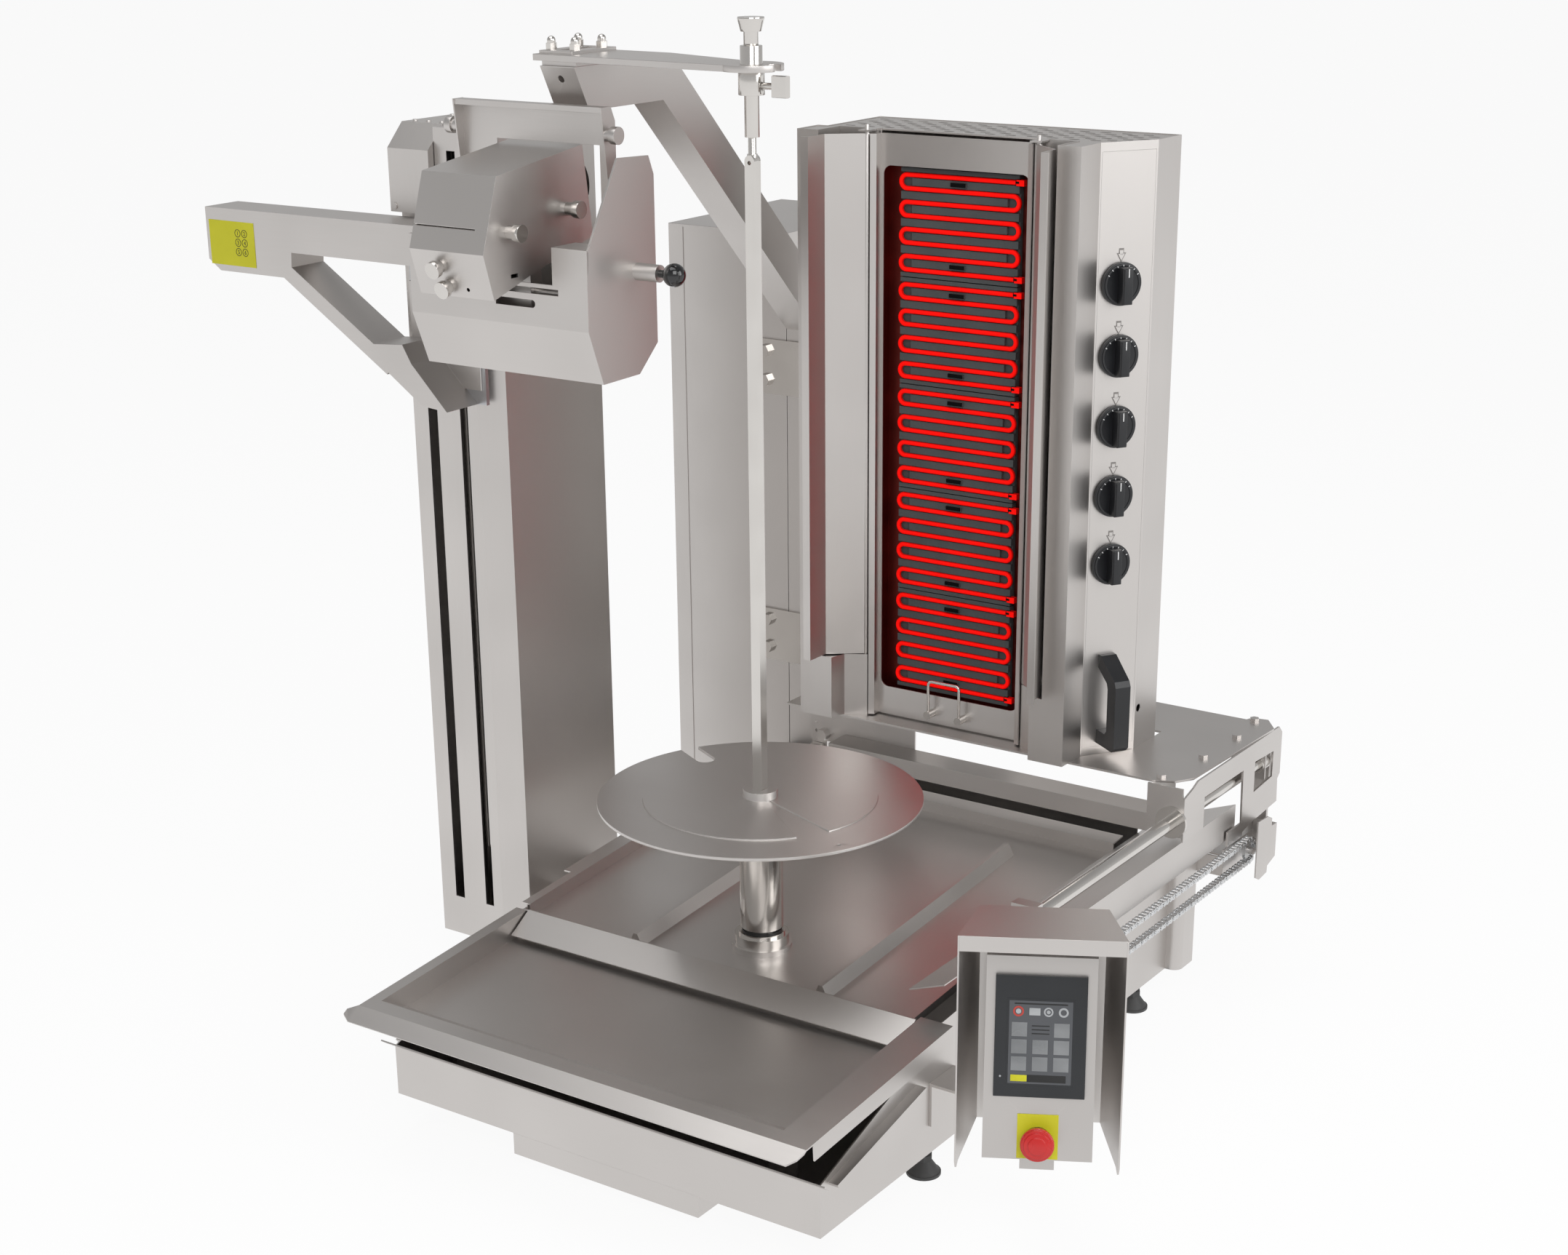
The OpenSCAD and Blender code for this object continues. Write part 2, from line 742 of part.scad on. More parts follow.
module left_runner() {
    y = beam_y + 46;
    color(steel) {
        difference() {
            box(deck_left, -75, y, y + 3, bar_z1 + 6, deck_z - deck_t);
            for (h = [0, 14, 28]) bar_y(y - 1, y + 4, deck_left + 10, bar_z1 + 20 + h, 5);
        }
        difference() {
            box(deck_left, bar_x1 + 5, y + 3, y + 43, bar_z1 - 14, bar_z1 + 26);
            box(bar_x0 - seat, bar_x1 + seat, y + 2, y + 44, bar_z1 - 20, bar_z1 + seat);
        }
        translate([-236, y, bar_z1 + 18]) rotate([90, 0, 0]) hex_head(19, 12);
    }
}

// Round rod on the right and flat bar on the left
rod_y0 = 40;
rod_y1 = 764;
bar_y0 = 300;

module guide_rods() {
    color(chrome_tone) {
        bar_y(rod_y0, rod_y1, rod_x, rod_z, rod_d);
        box(bar_x0, bar_x1, bar_y0, base_back - 2, bar_z1 - 12, bar_z1);
    }
}

// Brackets that carry the rod and the bar
module rod_brackets() {
    color(steel) {
        // Front block on the skirt
        difference() {
            box(rod_x - 22, skirt_x, rod_y0 - 10, rod_y0 + 8, skirt_z + 1, rod_z + 22);
            bar_y(rod_y0, rod_y0 + 20, rod_x, rod_z, rod_d + 2 * small);
            box(rod_x - 40, skirt_x + 1, rod_y0 - 11, rod_y0 + 20, skirt_z - 60, skirt_z + 2);
        }
        // Rear plate on an angle that runs forward to the drive cover
        difference() {
            box(rod_x - 20, skirt_x - 4, 746, 752, rear_angle_z, rod_z + 20);
            bar_y(740, 760, rod_x, rod_z, rod_d + 2 * small);
        }
        box(skirt_x - 28, skirt_x - 4, 600, 752, rear_angle_z, rear_angle_z + 3);
        // Posts under the flat bar
        for (y = [bar_y0 + 4, base_back - 16])
            prism_x([[y, tray_floor_at(y)], [y + 12, tray_floor_at(y + 12)], [y + 12, bar_z1 - 12],
                     [y, bar_z1 - 12]], bar_x0 + 1, bar_x1 - 1);
    }
}

rear_angle_z = 220;

// Height of the tray floor at distance y
function tray_floor_at(y) = rim_at(y) - tray_depth / cos(tray_tilt);

// Chain drive
chain_x = 409;
links = 108;
sprocket_r = chain_pitch / (2 * sin(180 / sprocket_teeth));
centre_gap = (links - sprocket_teeth) * chain_pitch / 2;
idler_y = sprocket_y - centre_gap;
chain_top_z = sprocket_z + sprocket_r;
roller_d = 6.35;

module chain_plate(y, z, turn, x, w) {
    translate([x, y, z]) rotate([turn, 0, 0]) rotate([90, 0, 90]) linear_extrude(w) union() {
        translate([-chain_pitch / 2, 0]) circle(d = 7.6, $fn = 16);
        translate([chain_pitch / 2, 0]) circle(d = 7.6, $fn = 16);
        translate([-chain_pitch / 2, -3]) square([chain_pitch, 6]);
    }
}

// Centre of link i: its place along the loop as [y, z, turn]
function link_at(i) =
    let (straight = centre_gap, s = (i + 0.5) * chain_pitch, round_s = sprocket_teeth * chain_pitch / 2)
    s < straight ? [idler_y + s, sprocket_z + sprocket_r, 0]
    : s < straight + round_s
        ? let (a = 180 * (s - straight) / round_s)
          [sprocket_y + sprocket_r * sin(a), sprocket_z + sprocket_r * cos(a), -a]
    : s < 2 * straight + round_s
        ? [sprocket_y - (s - straight - round_s), sprocket_z - sprocket_r, 180]
    : let (a = 180 * (s - 2 * straight - round_s) / round_s)
      [idler_y - sprocket_r * sin(a), sprocket_z - sprocket_r * cos(a), 180 - a];

module drive_chain() {
    color(chrome_tone) for (i = [0:links - 1]) {
        p = link_at(i);
        inner = i % 2 == 0;
        w = 1.2;
        offset_x = inner ? 2.8 : 4.2;
        chain_plate(p[0], p[1], p[2], chain_x + offset_x, w);
        chain_plate(p[0], p[1], p[2], chain_x - offset_x - w, w);
    }
    color(chrome_tone) for (i = [0:links - 1]) {
        p = link_at(i - 0.5);
        bar_x(chain_x - 5.9, chain_x + 5.9, p[0], p[1], 4);
        bar_x(chain_x - 2.9, chain_x + 2.9, p[0], p[1], roller_d);
    }
}

module sprocket(y) {
    color(dark_steel) difference() {
        union() {
            bar_x(chain_x - 2.4, chain_x + 2.4, y, sprocket_z, 2 * sprocket_r - roller_d - 0.6);
            bar_x(chain_x - 9, chain_x - 2, y, sprocket_z, 22);
        }
        bar_x(chain_x - 10, chain_x + 10, y, sprocket_z, 10 + 2 * running);
    }
}

module drive_sprocket() {
    sprocket(sprocket_y);
}

module idler_sprocket() {
    sprocket(idler_y);
}

// Covers of the heater drive with its shafts and plates
module drive_covers() {
    post_x0 = 250;
    post_x1 = 357;
    post_y0 = base_back;
    post_y1 = base_back + 58;
    color(steel) {
        // Round cornered cover of the motor behind the base
        difference() {
            rounded_post(post_x0, post_x1, post_y0, post_y1, base_z, skirt_z - 70, 14);
            rounded_post(post_x0 + sheet, post_x1 - sheet, post_y0 + sheet, post_y1 - sheet,
                         base_z + sheet, skirt_z - 70 - sheet, 12);
        }
        // Plate that carries the rear sprocket shaft
        box(skirt_x - 4, skirt_x - 2, post_y1 - 8, sprocket_y + 26, sprocket_z - 26, skirt_z - 62);
        box(post_x1 - 12, skirt_x - 2, post_y1 - 8, post_y1 - 5, sprocket_z - 26, rear_angle_z);
        // Outer cover plate with its notch
        prism_x([[632, 184], [645, 177], [671, 180], [672, 190], [698, 197], [698, 249], [680, 250],
                 [680, 262], [666, 269], [632, 271]], 430, 432);
        box(skirt_x - 2, 432, 696, 698, 197, 249);
        box(skirt_x - 4, skirt_x - 2, sprocket_y + 20, 698, sprocket_z - 20, skirt_z - 62);
        // Shafts of both sprockets
        bar_x(skirt_x - 4, chain_x + 10, sprocket_y, sprocket_z, 10);
        bar_x(base_half_w, chain_x + 10, idler_y, sprocket_z, 10);
    }
}

module rounded_post(x0, x1, y0, y1, z0, z1, r) {
    translate([0, 0, z0]) linear_extrude(z1 - z0) union() {
        translate([x0, y0]) square([x1 - x0 - r, y1 - y0]);
        translate([x0, y0 + r]) square([x1 - x0, y1 - y0 - 2 * r]);
        translate([x1 - r, y0 + r]) circle(r = r);
        translate([x1 - r, y1 - r]) circle(r = r);
    }
}

// Heater
heater_back = 612;
wing_px = 134.5;
wing_py = 467;
knob_corner = [222, 475];
knob_end = [270, 546];
panel_dir = knob_end - knob_corner;
panel_angle = atan2(panel_dir[1], panel_dir[0]);
panel_len = norm(panel_dir);

upper_outline = [[221, 423], knob_corner, knob_end, [271, heater_back], [-205, heater_back],
                 [-205, 475], [-221, 475], [-221, 423], [-186, 423], [-186, 478], [-122, 478],
                 [-122, 484], [122, 484], [122, 478], [186, 478], [186, 423]];
lower_outline = [[221, 423], knob_corner, knob_end, [271, heater_back], [-205, heater_back],
                 [-205, 475], [-221, 475], [-221, 423], [-166, 423], [-160, 449], [-130, 465],
                 [-122, 484], [122, 484], [130, 465], [160, 449], [166, 423]];

// Places children on the slanted knob panel: x along it, -y outwards
module on_knob_panel() {
    translate([knob_corner[0], knob_corner[1], 0]) rotate([0, 0, panel_angle]) children();
}

module shell(outline, z0, z1) {
    difference() {
        prism_z(outline, z0, z1);
        prism_z(inset(outline, sheet), z0 - 1, z1 + 1);
    }
}

module heater_housing() {
    shelf = wing_z0 - 4;
    color(steel) difference() {
        union() {
            shell(upper_outline, shelf, heater_z);
            shell(lower_outline, deck_z, shelf + sheet);
            difference() {
                prism_z(lower_outline, shelf, shelf + sheet);
                prism_z(inset(upper_outline, sheet), shelf - 1, shelf + sheet + 1);
            }
            difference() {
                prism_z(lower_outline, deck_z, deck_z + sheet);
                box(-150, 230, 500, 590, deck_z - 1, deck_z + 5);
            }
        }
        box(-121, 121, 466, 486, deck_z + sheet, heater_z + 1);
        // Cut for the knob panel
        on_knob_panel() translate([2.4, -5, deck_z + 12])
            cube([panel_len - 4.8, 12, heater_z - deck_z - 24]);
        // Hole low in the right side
        bar_x(260, 280, 556, 437, 11.5);
        // Slots for the ears of the perforated top
        for (x = [-wing_px, wing_px])
            box(x - 9.3, x + 9.3, wing_py + 5, 484, heater_z - 3.3, heater_z + 1);
        // Holes for the wing pins
        for (x = [-wing_px, wing_px]) bar_z(deck_z - 1, shelf + 5, x, wing_py, pin_hole_d);
    }
}

pin_hole_d = 6;

module perforated_top() {
    z1 = heater_z - 1;
    color(steel) difference() {
        union() {
            prism_z(inset(upper_outline, sheet + 0.2), z1 - sheet, z1);
            // Ears that hold the upper wing pins
            for (side = [-1, 1])
                box(side * wing_px - 9, side * wing_px + 9, wing_py - 9, 482, z1 - sheet, z1);
        }
        for (i = [0:13], j = [0:6])
            translate([-184 + 32 * i + 16 * (j % 2), 500 + 15 * j, z1 - 5]) slot_cut(18, 6, 10);
        for (x = [-wing_px, wing_px]) bar_z(z1 - 5, z1 + 5, x, wing_py, pin_hole_d);
    }
}

module slot_cut(l, w, h) {
    linear_extrude(h) union() {
        square([l - w, w], center = true);
        translate([-(l - w) / 2, 0]) circle(d = w, $fn = 16);
        translate([(l - w) / 2, 0]) circle(d = w, $fn = 16);
    }
}

// Rounded rectangle in X and Z as an outline of arcs
module rounded_window(half, z0, z1, r, y0, y1) {
    translate([0, y1, 0]) rotate([90, 0, 0]) linear_extrude(y1 - y0) union() {
        translate([-half + r, z0]) square([2 * half - 2 * r, z1 - z0]);
        translate([-half, z0 + r]) square([2 * half, z1 - z0 - 2 * r]);
        for (x = [-half + r, half - r], z = [z0 + r, z1 - r]) translate([x, z]) circle(r = r);
    }
}

module heater_front_panel() {
    color(steel) difference() {
        prism_z(folded([[-127, 463], [-119, 467], [-119, panel_y], [119, panel_y], [119, 467],
                        [127, 463]], sheet), deck_z + sheet + seat, heater_z - 6);
        rounded_window(window_half, window_z0, window_z1, 12, panel_y - 5, panel_y + 6);
    }
}

// Box behind the opening that holds the ceramic plates
plate_y = panel_y + 11;
ceramic_t = 12;

module reflector_box() {
    y1 = plate_y + ceramic_t + seat;
    color(dark_steel) {
        prism_z(folded([[-119, panel_y + sheet + seat], [-119, y1], [119, y1],
                        [119, panel_y + sheet + seat]], sheet), window_z0 - 10, window_z1 + 10);
        for (z = [window_z0 - 10, window_z1 + 8])
            box(-119, 119, panel_y + sheet + seat, y1, z, z + 2);
        // Feet and side tabs that hold the box in the housing
        for (z = [window_z0 + 40, window_z1 - 60])
            box(-119, 119, y1 + sheet, heater_back - sheet - seat, z, z + 2);
    }
}

zone_h = (window_z1 - window_z0 - 3) / zones;
run_pitch = zone_h / (runs + 0.12);
plate_half = 93.5;

function zone_z0(i) = window_z0 + 1 + i * zone_h;
function run_z(i, j) = zone_z0(i) + run_pitch * (j + 0.56);

// Grooved plates with their clips
module ceramic_plates() {
    color(ceramic_grey) for (i = [0:zones - 1]) {
        difference() {
            box(-plate_half, plate_half, plate_y, plate_y + ceramic_t, zone_z0(i) + 0.7,
                zone_z0(i) + zone_h - 0.7);
            for (j = [0:runs - 1])
                box(-plate_half - 1, plate_half + 1, plate_y - 1, plate_y + 5,
                    run_z(i, j) - element_d / 2 - 0.8, run_z(i, j) + element_d / 2 + 0.8);
            for (j = [0:2:runs - 2])
                box(-plate_half - 1, -plate_half + 18, plate_y - 1, plate_y + 5,
                    run_z(i, j), run_z(i, j + 1));
            for (j = [1:2:runs - 3])
                box(plate_half - 18, plate_half + 1, plate_y - 1, plate_y + 5,
                    run_z(i, j), run_z(i, j + 1));
        }
        for (j = [0, runs - 2])
            box(-12, 12, plate_y - 4, plate_y, run_z(i, j) + run_pitch / 2 - 3,
                run_z(i, j) + run_pitch / 2 + 3);
    }
}

// One serpentine element for each zone, its bends a little thicker than its runs
bend_x = 84;
bend_d = element_d + 0.3;

module heating_elements() {
    y = plate_y + 1;
    color(glow) for (i = [0:zones - 1]) {
        for (j = [0:runs - 1]) {
            last = j == 0 || j == runs - 1;
            bar_x(-bend_x - 1, last ? bend_x + 8 : bend_x + 1, y, run_z(i, j), element_d);
        }
        for (j = [0:2:runs - 2]) element_bend(-1, y, run_z(i, j));
        for (j = [1:2:runs - 3]) element_bend(1, y, run_z(i, j));
        for (j = [0, runs - 1])
            box(bend_x + 6, bend_x + 18, y - 4, y + 4, run_z(i, j) - 4, run_z(i, j) + 4);
    }
}

module element_bend(side, y, z) {
    translate([side * bend_x, y, z + run_pitch / 2]) rotate([90, 0, 0])
        rotate([0, 0, side > 0 ? -90 : 90])
            rotate_extrude(angle = 180, $fn = 32) translate([run_pitch / 2, 0])
                circle(d = bend_d, $fn = 24);
}

// Panel behind the knobs with its five heat switches
shaft_small = 6;

module knob_panel() {
    color(steel) on_knob_panel() difference() {
        translate([2.6, 0, deck_z + 12.2]) cube([panel_len - 5.2, sheet, heater_z - deck_z - 24.4]);
        for (i = [0:4]) translate([knob_u, -2, knob_z + i * knob_pitch]) rotate([-90, 0, 0])
            cylinder(h = 8, d = shaft_small + 1);
    }
    color(black) on_knob_panel() for (i = [0:4]) {
        translate([knob_u - 20, sheet, knob_z + i * knob_pitch - 20]) cube([40, 26, 40]);
        translate([knob_u, -16, knob_z + i * knob_pitch]) rotate([-90, 0, 0])
            cylinder(h = 20, d = shaft_small);
    }
}

knob_u = 36;

// Round knob with a raised grip
module heat_knob(i) {
    color(black) on_knob_panel() translate([knob_u, 0, knob_z + (5 - i) * knob_pitch])
        rotate([90, 0, 0]) difference() {
            union() {
                translate([0, 0, 1]) cylinder(h = 5, d1 = knob_d, d2 = knob_d - 2);
                translate([0, 0, 6]) cylinder(h = 3, d1 = knob_d - 2, d2 = knob_d - 8);
                intersection() {
                    translate([-7, -26, 8]) cube([14, 50, 16]);
                    translate([0, 0, 8]) cylinder(h = 16, d1 = knob_d - 6, d2 = knob_d - 14);
                }
            }
            cylinder(h = 17, d = shaft_small + 2 * running);
        }
}

module knob_1() {
    heat_knob(1);
}

module knob_2() {
    heat_knob(2);
}

module knob_3() {
    heat_knob(3);
}

module knob_4() {
    heat_knob(4);
}

module knob_5() {
    heat_knob(5);
}

// Bow handle, seen from the side as distance from the panel and height
module bow_handle() {
    z = 396;
    color(black) on_knob_panel() translate([knob_u - 12, 0, z])
        rotate([90, 0, 90]) linear_extrude(24) polygon([[0, 131], [-8, 131], [-48, 104], [-52, 96],
            [-52, 6], [-46, 0], [0, 0], [0, 20], [-24, 20], [-29, 26], [-29, 88], [-26, 96], [0, 112]]);
}

// Wing of the heater: hinge tube and folded reflector
module wing(side) {
    path = [[wing_px - 2, wing_py - 4], [179, 428], [180.5, 389], [192, 388]];
    z1 = heater_z - 4;
    color(steel) mirror([side > 0 ? 0 : 1, 0, 0]) {
        difference() {
            union() {
                bar_z(wing_z0, z1 - sheet, wing_px, wing_py, 10);
                prism_z(folded(path, sheet), wing_z0, z1 - sheet);
            }
            bar_z(wing_z0 + 30, z1 - 40, wing_px, wing_py, 5);
        }
        bar_z(deck_z - 9, wing_z0 + 10, wing_px, wing_py, 5.9);
        bar_z(z1 - 10, heater_z + 6, wing_px, wing_py, 5.9);
    }
}

module left_wing() {
    wing(-1);
}

module right_wing() {
    wing(1);
}

// Wire bail in front of the lowest element
module wire_bail() {
    z0 = deck_z + 18;
    z1 = z0 + 52;
    y = panel_y - 12;
    d = 4.6;
    color(chrome_tone) {
        for (x = [-26, 26]) {
            bar_y(y - 4, panel_y - small, x, z0, 12);
            bar_z(z0, z1 - 6, x, y, d);
            translate([x + (x > 0 ? -6 : 6), y, z1 - 6]) rotate([90, 0, 0])
                rotate([0, 0, x > 0 ? 0 : 90]) rotate_extrude(angle = 90, $fn = 32)
                    translate([6, 0]) circle(d = d, $fn = 24);
        }
        bar_x(-20, 20, y, z1, d);
    }
}

// Lift column
column_x0 = -628;
column_x1 = -470;
column_low = 60;
cap_z0 = 1132;
slot_x = [[-601, -584], [-542, -527]];

module robot_column() {
    y1 = column_y + column_d;
    outline = [[column_x0, column_y], [-510, column_y], [column_x1, column_y + 16],
               [column_x1, y1], [column_x0, y1]];
    color(steel) {
        difference() {
            prism_z(outline, column_low, column_z);
            prism_z(inset(outline, 3), column_low + 3, column_z - 3);
            for (s = slot_x)
                box(s[0], s[1], column_y - 1, column_y + 4, column_low + 60, column_z - 30);
            // Corner under the slanted cover
            prism_x([[column_y - 1, column_z - 21], [column_y - 1, column_z + 1],
                     [column_y + 20, column_z + 1]], column_x0 - 1, column_x0 + 64);
        }
        column_cap(y1);
        // Two beams that tie the column to the base
        for (y = [column_y + 30, column_y + 150])
            box(column_x1, -base_half_w, y, y + 50, base_z + 20, base_z + 90);
    }
}

// Chamfered cover on the upper left of the column
module column_cap(y1) {
    x0 = column_x0 - 9;
    x1 = x0 + 73;
    difference() {
        prism_x([[column_y - 12, cap_z0], [column_y - 12, column_z - 30], [column_y + 20, column_z + 2],
                 [y1 - 60, column_z + 2], [y1 - 60, column_z - 1], [column_y + 19, column_z - 1],
                 [column_y - 1, column_z - 21], [column_y - 1, cap_z0]], x0, x1);
        box(column_x0, x1 - sheet, column_y - 10, column_y, cap_z0 - 1, column_z - 32);
    }
    for (x = [x0 + 12, x0 + 36, x0 + 60], y = [column_y + 34, column_y + 110])
        bar_z(column_z + 1, column_z + 4, x, y, 7);
    translate([x0 + 8, column_y - 11, cap_z0 + 8]) rotate([90, 0, 0]) cylinder(h = 3, d = 9);
}

// Two round rails, a lead screw and the lift motor inside the column
rail_x = [-603, -500];
rail_y = column_y + 90;

module lift_rails() {
    color(chrome_tone) {
        for (x = rail_x) bar_z(column_low + 3, column_z - 3, x, rail_y, 20);
        bar_z(column_low + 123, column_z - 3, screw_x, rail_y, 16);
        box(screw_x - 30, screw_x + 30, rail_y - 30, rail_y + 30, column_low + 3, column_low + 123);
    }
}

screw_x = -556;
neck_z0 = 900;
neck_z1 = 1110;
mount_y = column_y - 3 - seat;

// Block on the rails, with necks through the slots and a front plate
module robot_carriage() {
    block_y1 = rail_y + 22;
    color(steel) difference() {
        union() {
            box(-622, -480, column_y + 20, block_y1, neck_z0 + 20, neck_z1 - 20);
            for (s = slot_x)
                box(s[0] + 1.5, s[1] - 1.5, mount_y - 1, column_y + 21, neck_z0, neck_z1);
            box(-612, head_x0, mount_y - 6, mount_y, neck_z0 - 20, neck_z1);
            box(-490, -400, mount_y - 2, mount_y, 1000, 1080);
        }
        for (x = rail_x) bar_z(neck_z0, neck_z1, x, rail_y, 20 + 2 * running);
        bar_z(neck_z0, neck_z1, screw_x, rail_y, 16 + 2 * running);
    }
}

// Body of the slicing head
head_x0 = -484;
head_x1 = -190;
head_y = -88;
ledge_z = 1131;

function head_outline() = [[-89, 1030], [-62, 960], [13, 961], [mount_y - 2, 996], [mount_y - 2, 1209],
                           [mount_y - 12, 1233], [-21, 1236], [-85, ledge_z - 1]];

module head_body() {
    path = [[-40, ledge_z], [head_y, ledge_z], [head_y - 1, 1030], [-62, 960], [13, 961],
            [mount_y - 2, 996], [mount_y - 2, 1090]];
    color(steel) {
        difference() {
            union() {
                prism_x(folded(path, sheet), head_x0, head_x1);
                prism_x(head_outline(), head_x1 - 3, head_x1);
                prism_x([[-89, 1030], [-62, 960], [13, 961], [mount_y - 2, 996],
                         [mount_y - 2, 1090], [-88, 1090]], head_x0, head_x0 + sheet);
            }
            // Cut for the blade box and its travel
            box(-407, -282 + blade_travel, head_y - 3, 60, 1084, 1140);
            // Slot for the slide rods
            box(-345, -237, head_y - 4, head_y + 4, 1071, 1079);
            // Rounded lower slot
            box(-340, -280, head_y - 5, head_y + 5, 1053, 1063);
            bar_y(head_y - 5, head_y + 5, -280, 1058, 10);
            bar_x(head_x1 - 5, head_x1 + 1, plunger_y, plunger_z, plunger_d + 2 * small);
        }
        // Rods that the blade box slides on
        for (z = slide_z) bar_x(head_x0 + sheet, head_x1 - 3, -55, z, 8);
        // Barrel of the plunger
        difference() {
            bar_x(head_x1, head_x1 + 36, plunger_y, plunger_z, 22);
            bar_x(head_x1 - 1, head_x1 + 37, plunger_y, plunger_z, plunger_d + 2 * running);
        }
    }
}

slide_z = [1055, 1068];
plunger_y = 14;
plunger_z = 1092;
plunger_d = 10;

// Pull pin with a ball knob
module spring_plunger() {
    color(black) {
        bar_x(head_x1 - 14, head_x1 + 48, plunger_y, plunger_z, plunger_d);
        translate([head_x1 + 58, plunger_y, plunger_z]) sphere(d = 30);
    }
}

// Blade box
blade_x0 = -405;
blade_x1 = -284;
box_outline = [[-142, 1221], [-163, 1158], [-173, 1129], [-156, 1071], [-87, 1092], [44, 1126], [28, 1243]];

module blade_box() {
    color(steel) {
        difference() {
            prism_x(box_outline, blade_x0, blade_x1);
            prism_x(inset(box_outline, 3), blade_x0 + 3, blade_x1 - 3);
            // Seam under the upper cover
            prism_x([[-166, 1156], [-160, 1157], [-160, 1159], [-166, 1158.5]], blade_x0 - 1, blade_x1 - 20);
            // Slots in the right side
            box(blade_x1 - 4, blade_x1 + 1, -122, -108, 1094, 1099);
            // Hole in the front
            bar_y(-180, -150, -323, 1082, 5);
            bar_y(10, 60, blade_cx, blade_cz, spindle_d + 2 * running);
        }
        // Slide block on the two rods
        difference() {
            box(-380, -300, -66, -44, 1046, 1104);
            for (z = slide_z) bar_x(-390, -290, -55, z, 8 + 2 * running);
        }
    }
}

// Thumb knobs on the front and on the right side of the blade box
module thumb_knobs() {
    color(chrome_tone) {
        for (p = [[-362, 1109], [-355, 1084]])
            translate([p[0], -173 + (1129 - p[1]) * 17 / 58, p[1]]) rotate([106.3, 0, 0]) {
                cylinder(h = 14, d = thumb_d - 5);
                translate([0, 0, 7]) cylinder(h = 8, d = thumb_d);
            }
        for (p = [[-123, 1151], [-5, 1166]]) {
            bar_x(blade_x1, blade_x1 + 16, p[0], p[1], thumb_d - 5);
            bar_x(blade_x1 + 12, blade_x1 + 22, p[0], p[1], thumb_d);
        }
    }
}

// Round blade with its spindle, behind the blade box
blade_y = 47;
blade_cx = -335;
blade_cz = 1190;
spindle_d = 12;

module round_blade() {
    color(chrome_tone) {
        translate([blade_cx, blade_y + 2, blade_cz]) rotate([90, 0, 0])
            cylinder(h = 1.6, d1 = blade_d - 6, d2 = blade_d);
        bar_y(20, blade_y + 3, blade_cx, blade_cz, spindle_d);
    }
}

// Plate behind the blade box, with a rolled top and two thumb knobs
module shield_plate() {
    color(steel) {
        box(-466, -222, 8, 10, 1246, 1292);
        box(-466, blade_x0 - 3, 8, 10, 1130, 1246);
        box(blade_x1 + blade_travel + 8, -222, 8, 10, 1130, 1246);
        prism_x([[10, 1292], [8, 1294], [-8, 1294], [-8, 1287], [-6, 1287], [-6, 1291], [8, 1291]],
                -466, -222);
        for (x = [-466, -224]) prism_x([[-10, 1294], [10, 1294], [18, 1276], [18, 1130], [8, 1130]],
                                       x, x + sheet);
        bar_x(-222, -206, 2, 1260, 16);
        bar_x(-214, -204, 2, 1260, thumb_d);
        bar_x(-482, -466, 2, 1260, 16);
        bar_x(-484, -474, 2, 1260, thumb_d);
        // Brackets down to the back wall of the trough
        for (x = [-466, -240]) {
            box(x, x + 18, 8, mount_y - 4, 1130, 1132);
            box(x, x + 18, mount_y - 6, mount_y - 4, 1060, 1132);
        }
    }
}

// Arm to the left of the head with its brace
module left_arm() {
    y0 = -15;
    y1 = mount_y - 6;
    color(steel) {
        difference() {
            prism_y([[-936, 1052], [-914, 1037], [-775, 1037], [-772, 1073], [-490, 1073], [-490, 1127],
                     [-936, 1125]], y0, y1);
            prism_y(inset([[-936, 1052], [-914, 1037], [-775, 1037], [-772, 1073], [-490, 1073],
                           [-490, 1127], [-936, 1125]], sheet), y0 + sheet, y1 - sheet);
        }
        prism_y(band([[-790, 1050], [-600, 930]], 22), y0, y1);
        prism_y([[-640, 960], [-575, 965], [-560, 940], [-500, 880], [-545, 884], [-640, 948]],
                y0, y1);
        box(-612, -490, y1 - 3, y1, 900, 1040);
    }
}

// Control panel
control = [548, -228, 297];

// Places children on the control panel: x across, y in, z up
module at_control() {
    translate(control) rotate([0, 0, panel_turn]) children();
}

module at_control_box() {
    at_control() rotate([-panel_tilt, 0, 0]) children();
}

// Hood with tapering side shields and a back plate
hood_top = 160;
hood_y0 = -41;
hood_y1 = 48;
hood_back_h = 74;

module control_hood() {
    h = hood_w / 2;
    color(steel) {
        at_control() {
            // Roof and front valance
            prism_z([[-h, hood_y0], [h, hood_y0], [hood_back_h, hood_y1], [-hood_back_h, hood_y1]],
                    hood_top - sheet, hood_top);
            box(-h, h, hood_y0, hood_y0 + sheet, hood_top - 19, hood_top);
            // Back with both flared sides, cut to the outline of the sides
            intersection() {
                prism_z(folded([[-h, hood_y0], [-hood_back_h, hood_y1], [hood_back_h, hood_y1],
                                [h, hood_y0]], -sheet), -140, hood_top - 1);
                prism_x([[hood_y0 - 1, hood_top], [hood_y0 - 1, -122], [hood_y0 + 3, -134],
                         [hood_y0 + 10, -128], [hood_y1 + 1, -112], [hood_y1 + 1, hood_top]],
                        -h - 5, h + 5);
            }
        }
        hood_bracket();
    }
}

// Bracket from the side of the base to the back of the hood
module hood_bracket() {
    prism_z([[base_half_w, -120], [base_half_w, -60], [470, -60], [560, -170], [500, -205], [440, -120]],
            base_z + 96, base_z + 100);
    box(base_half_w, base_half_w + 4, -120, -60, base_z + 40, base_z + 100);
    at_control() box(-60, 40, hood_y1, hood_y1 + 3, -155, -40);
}

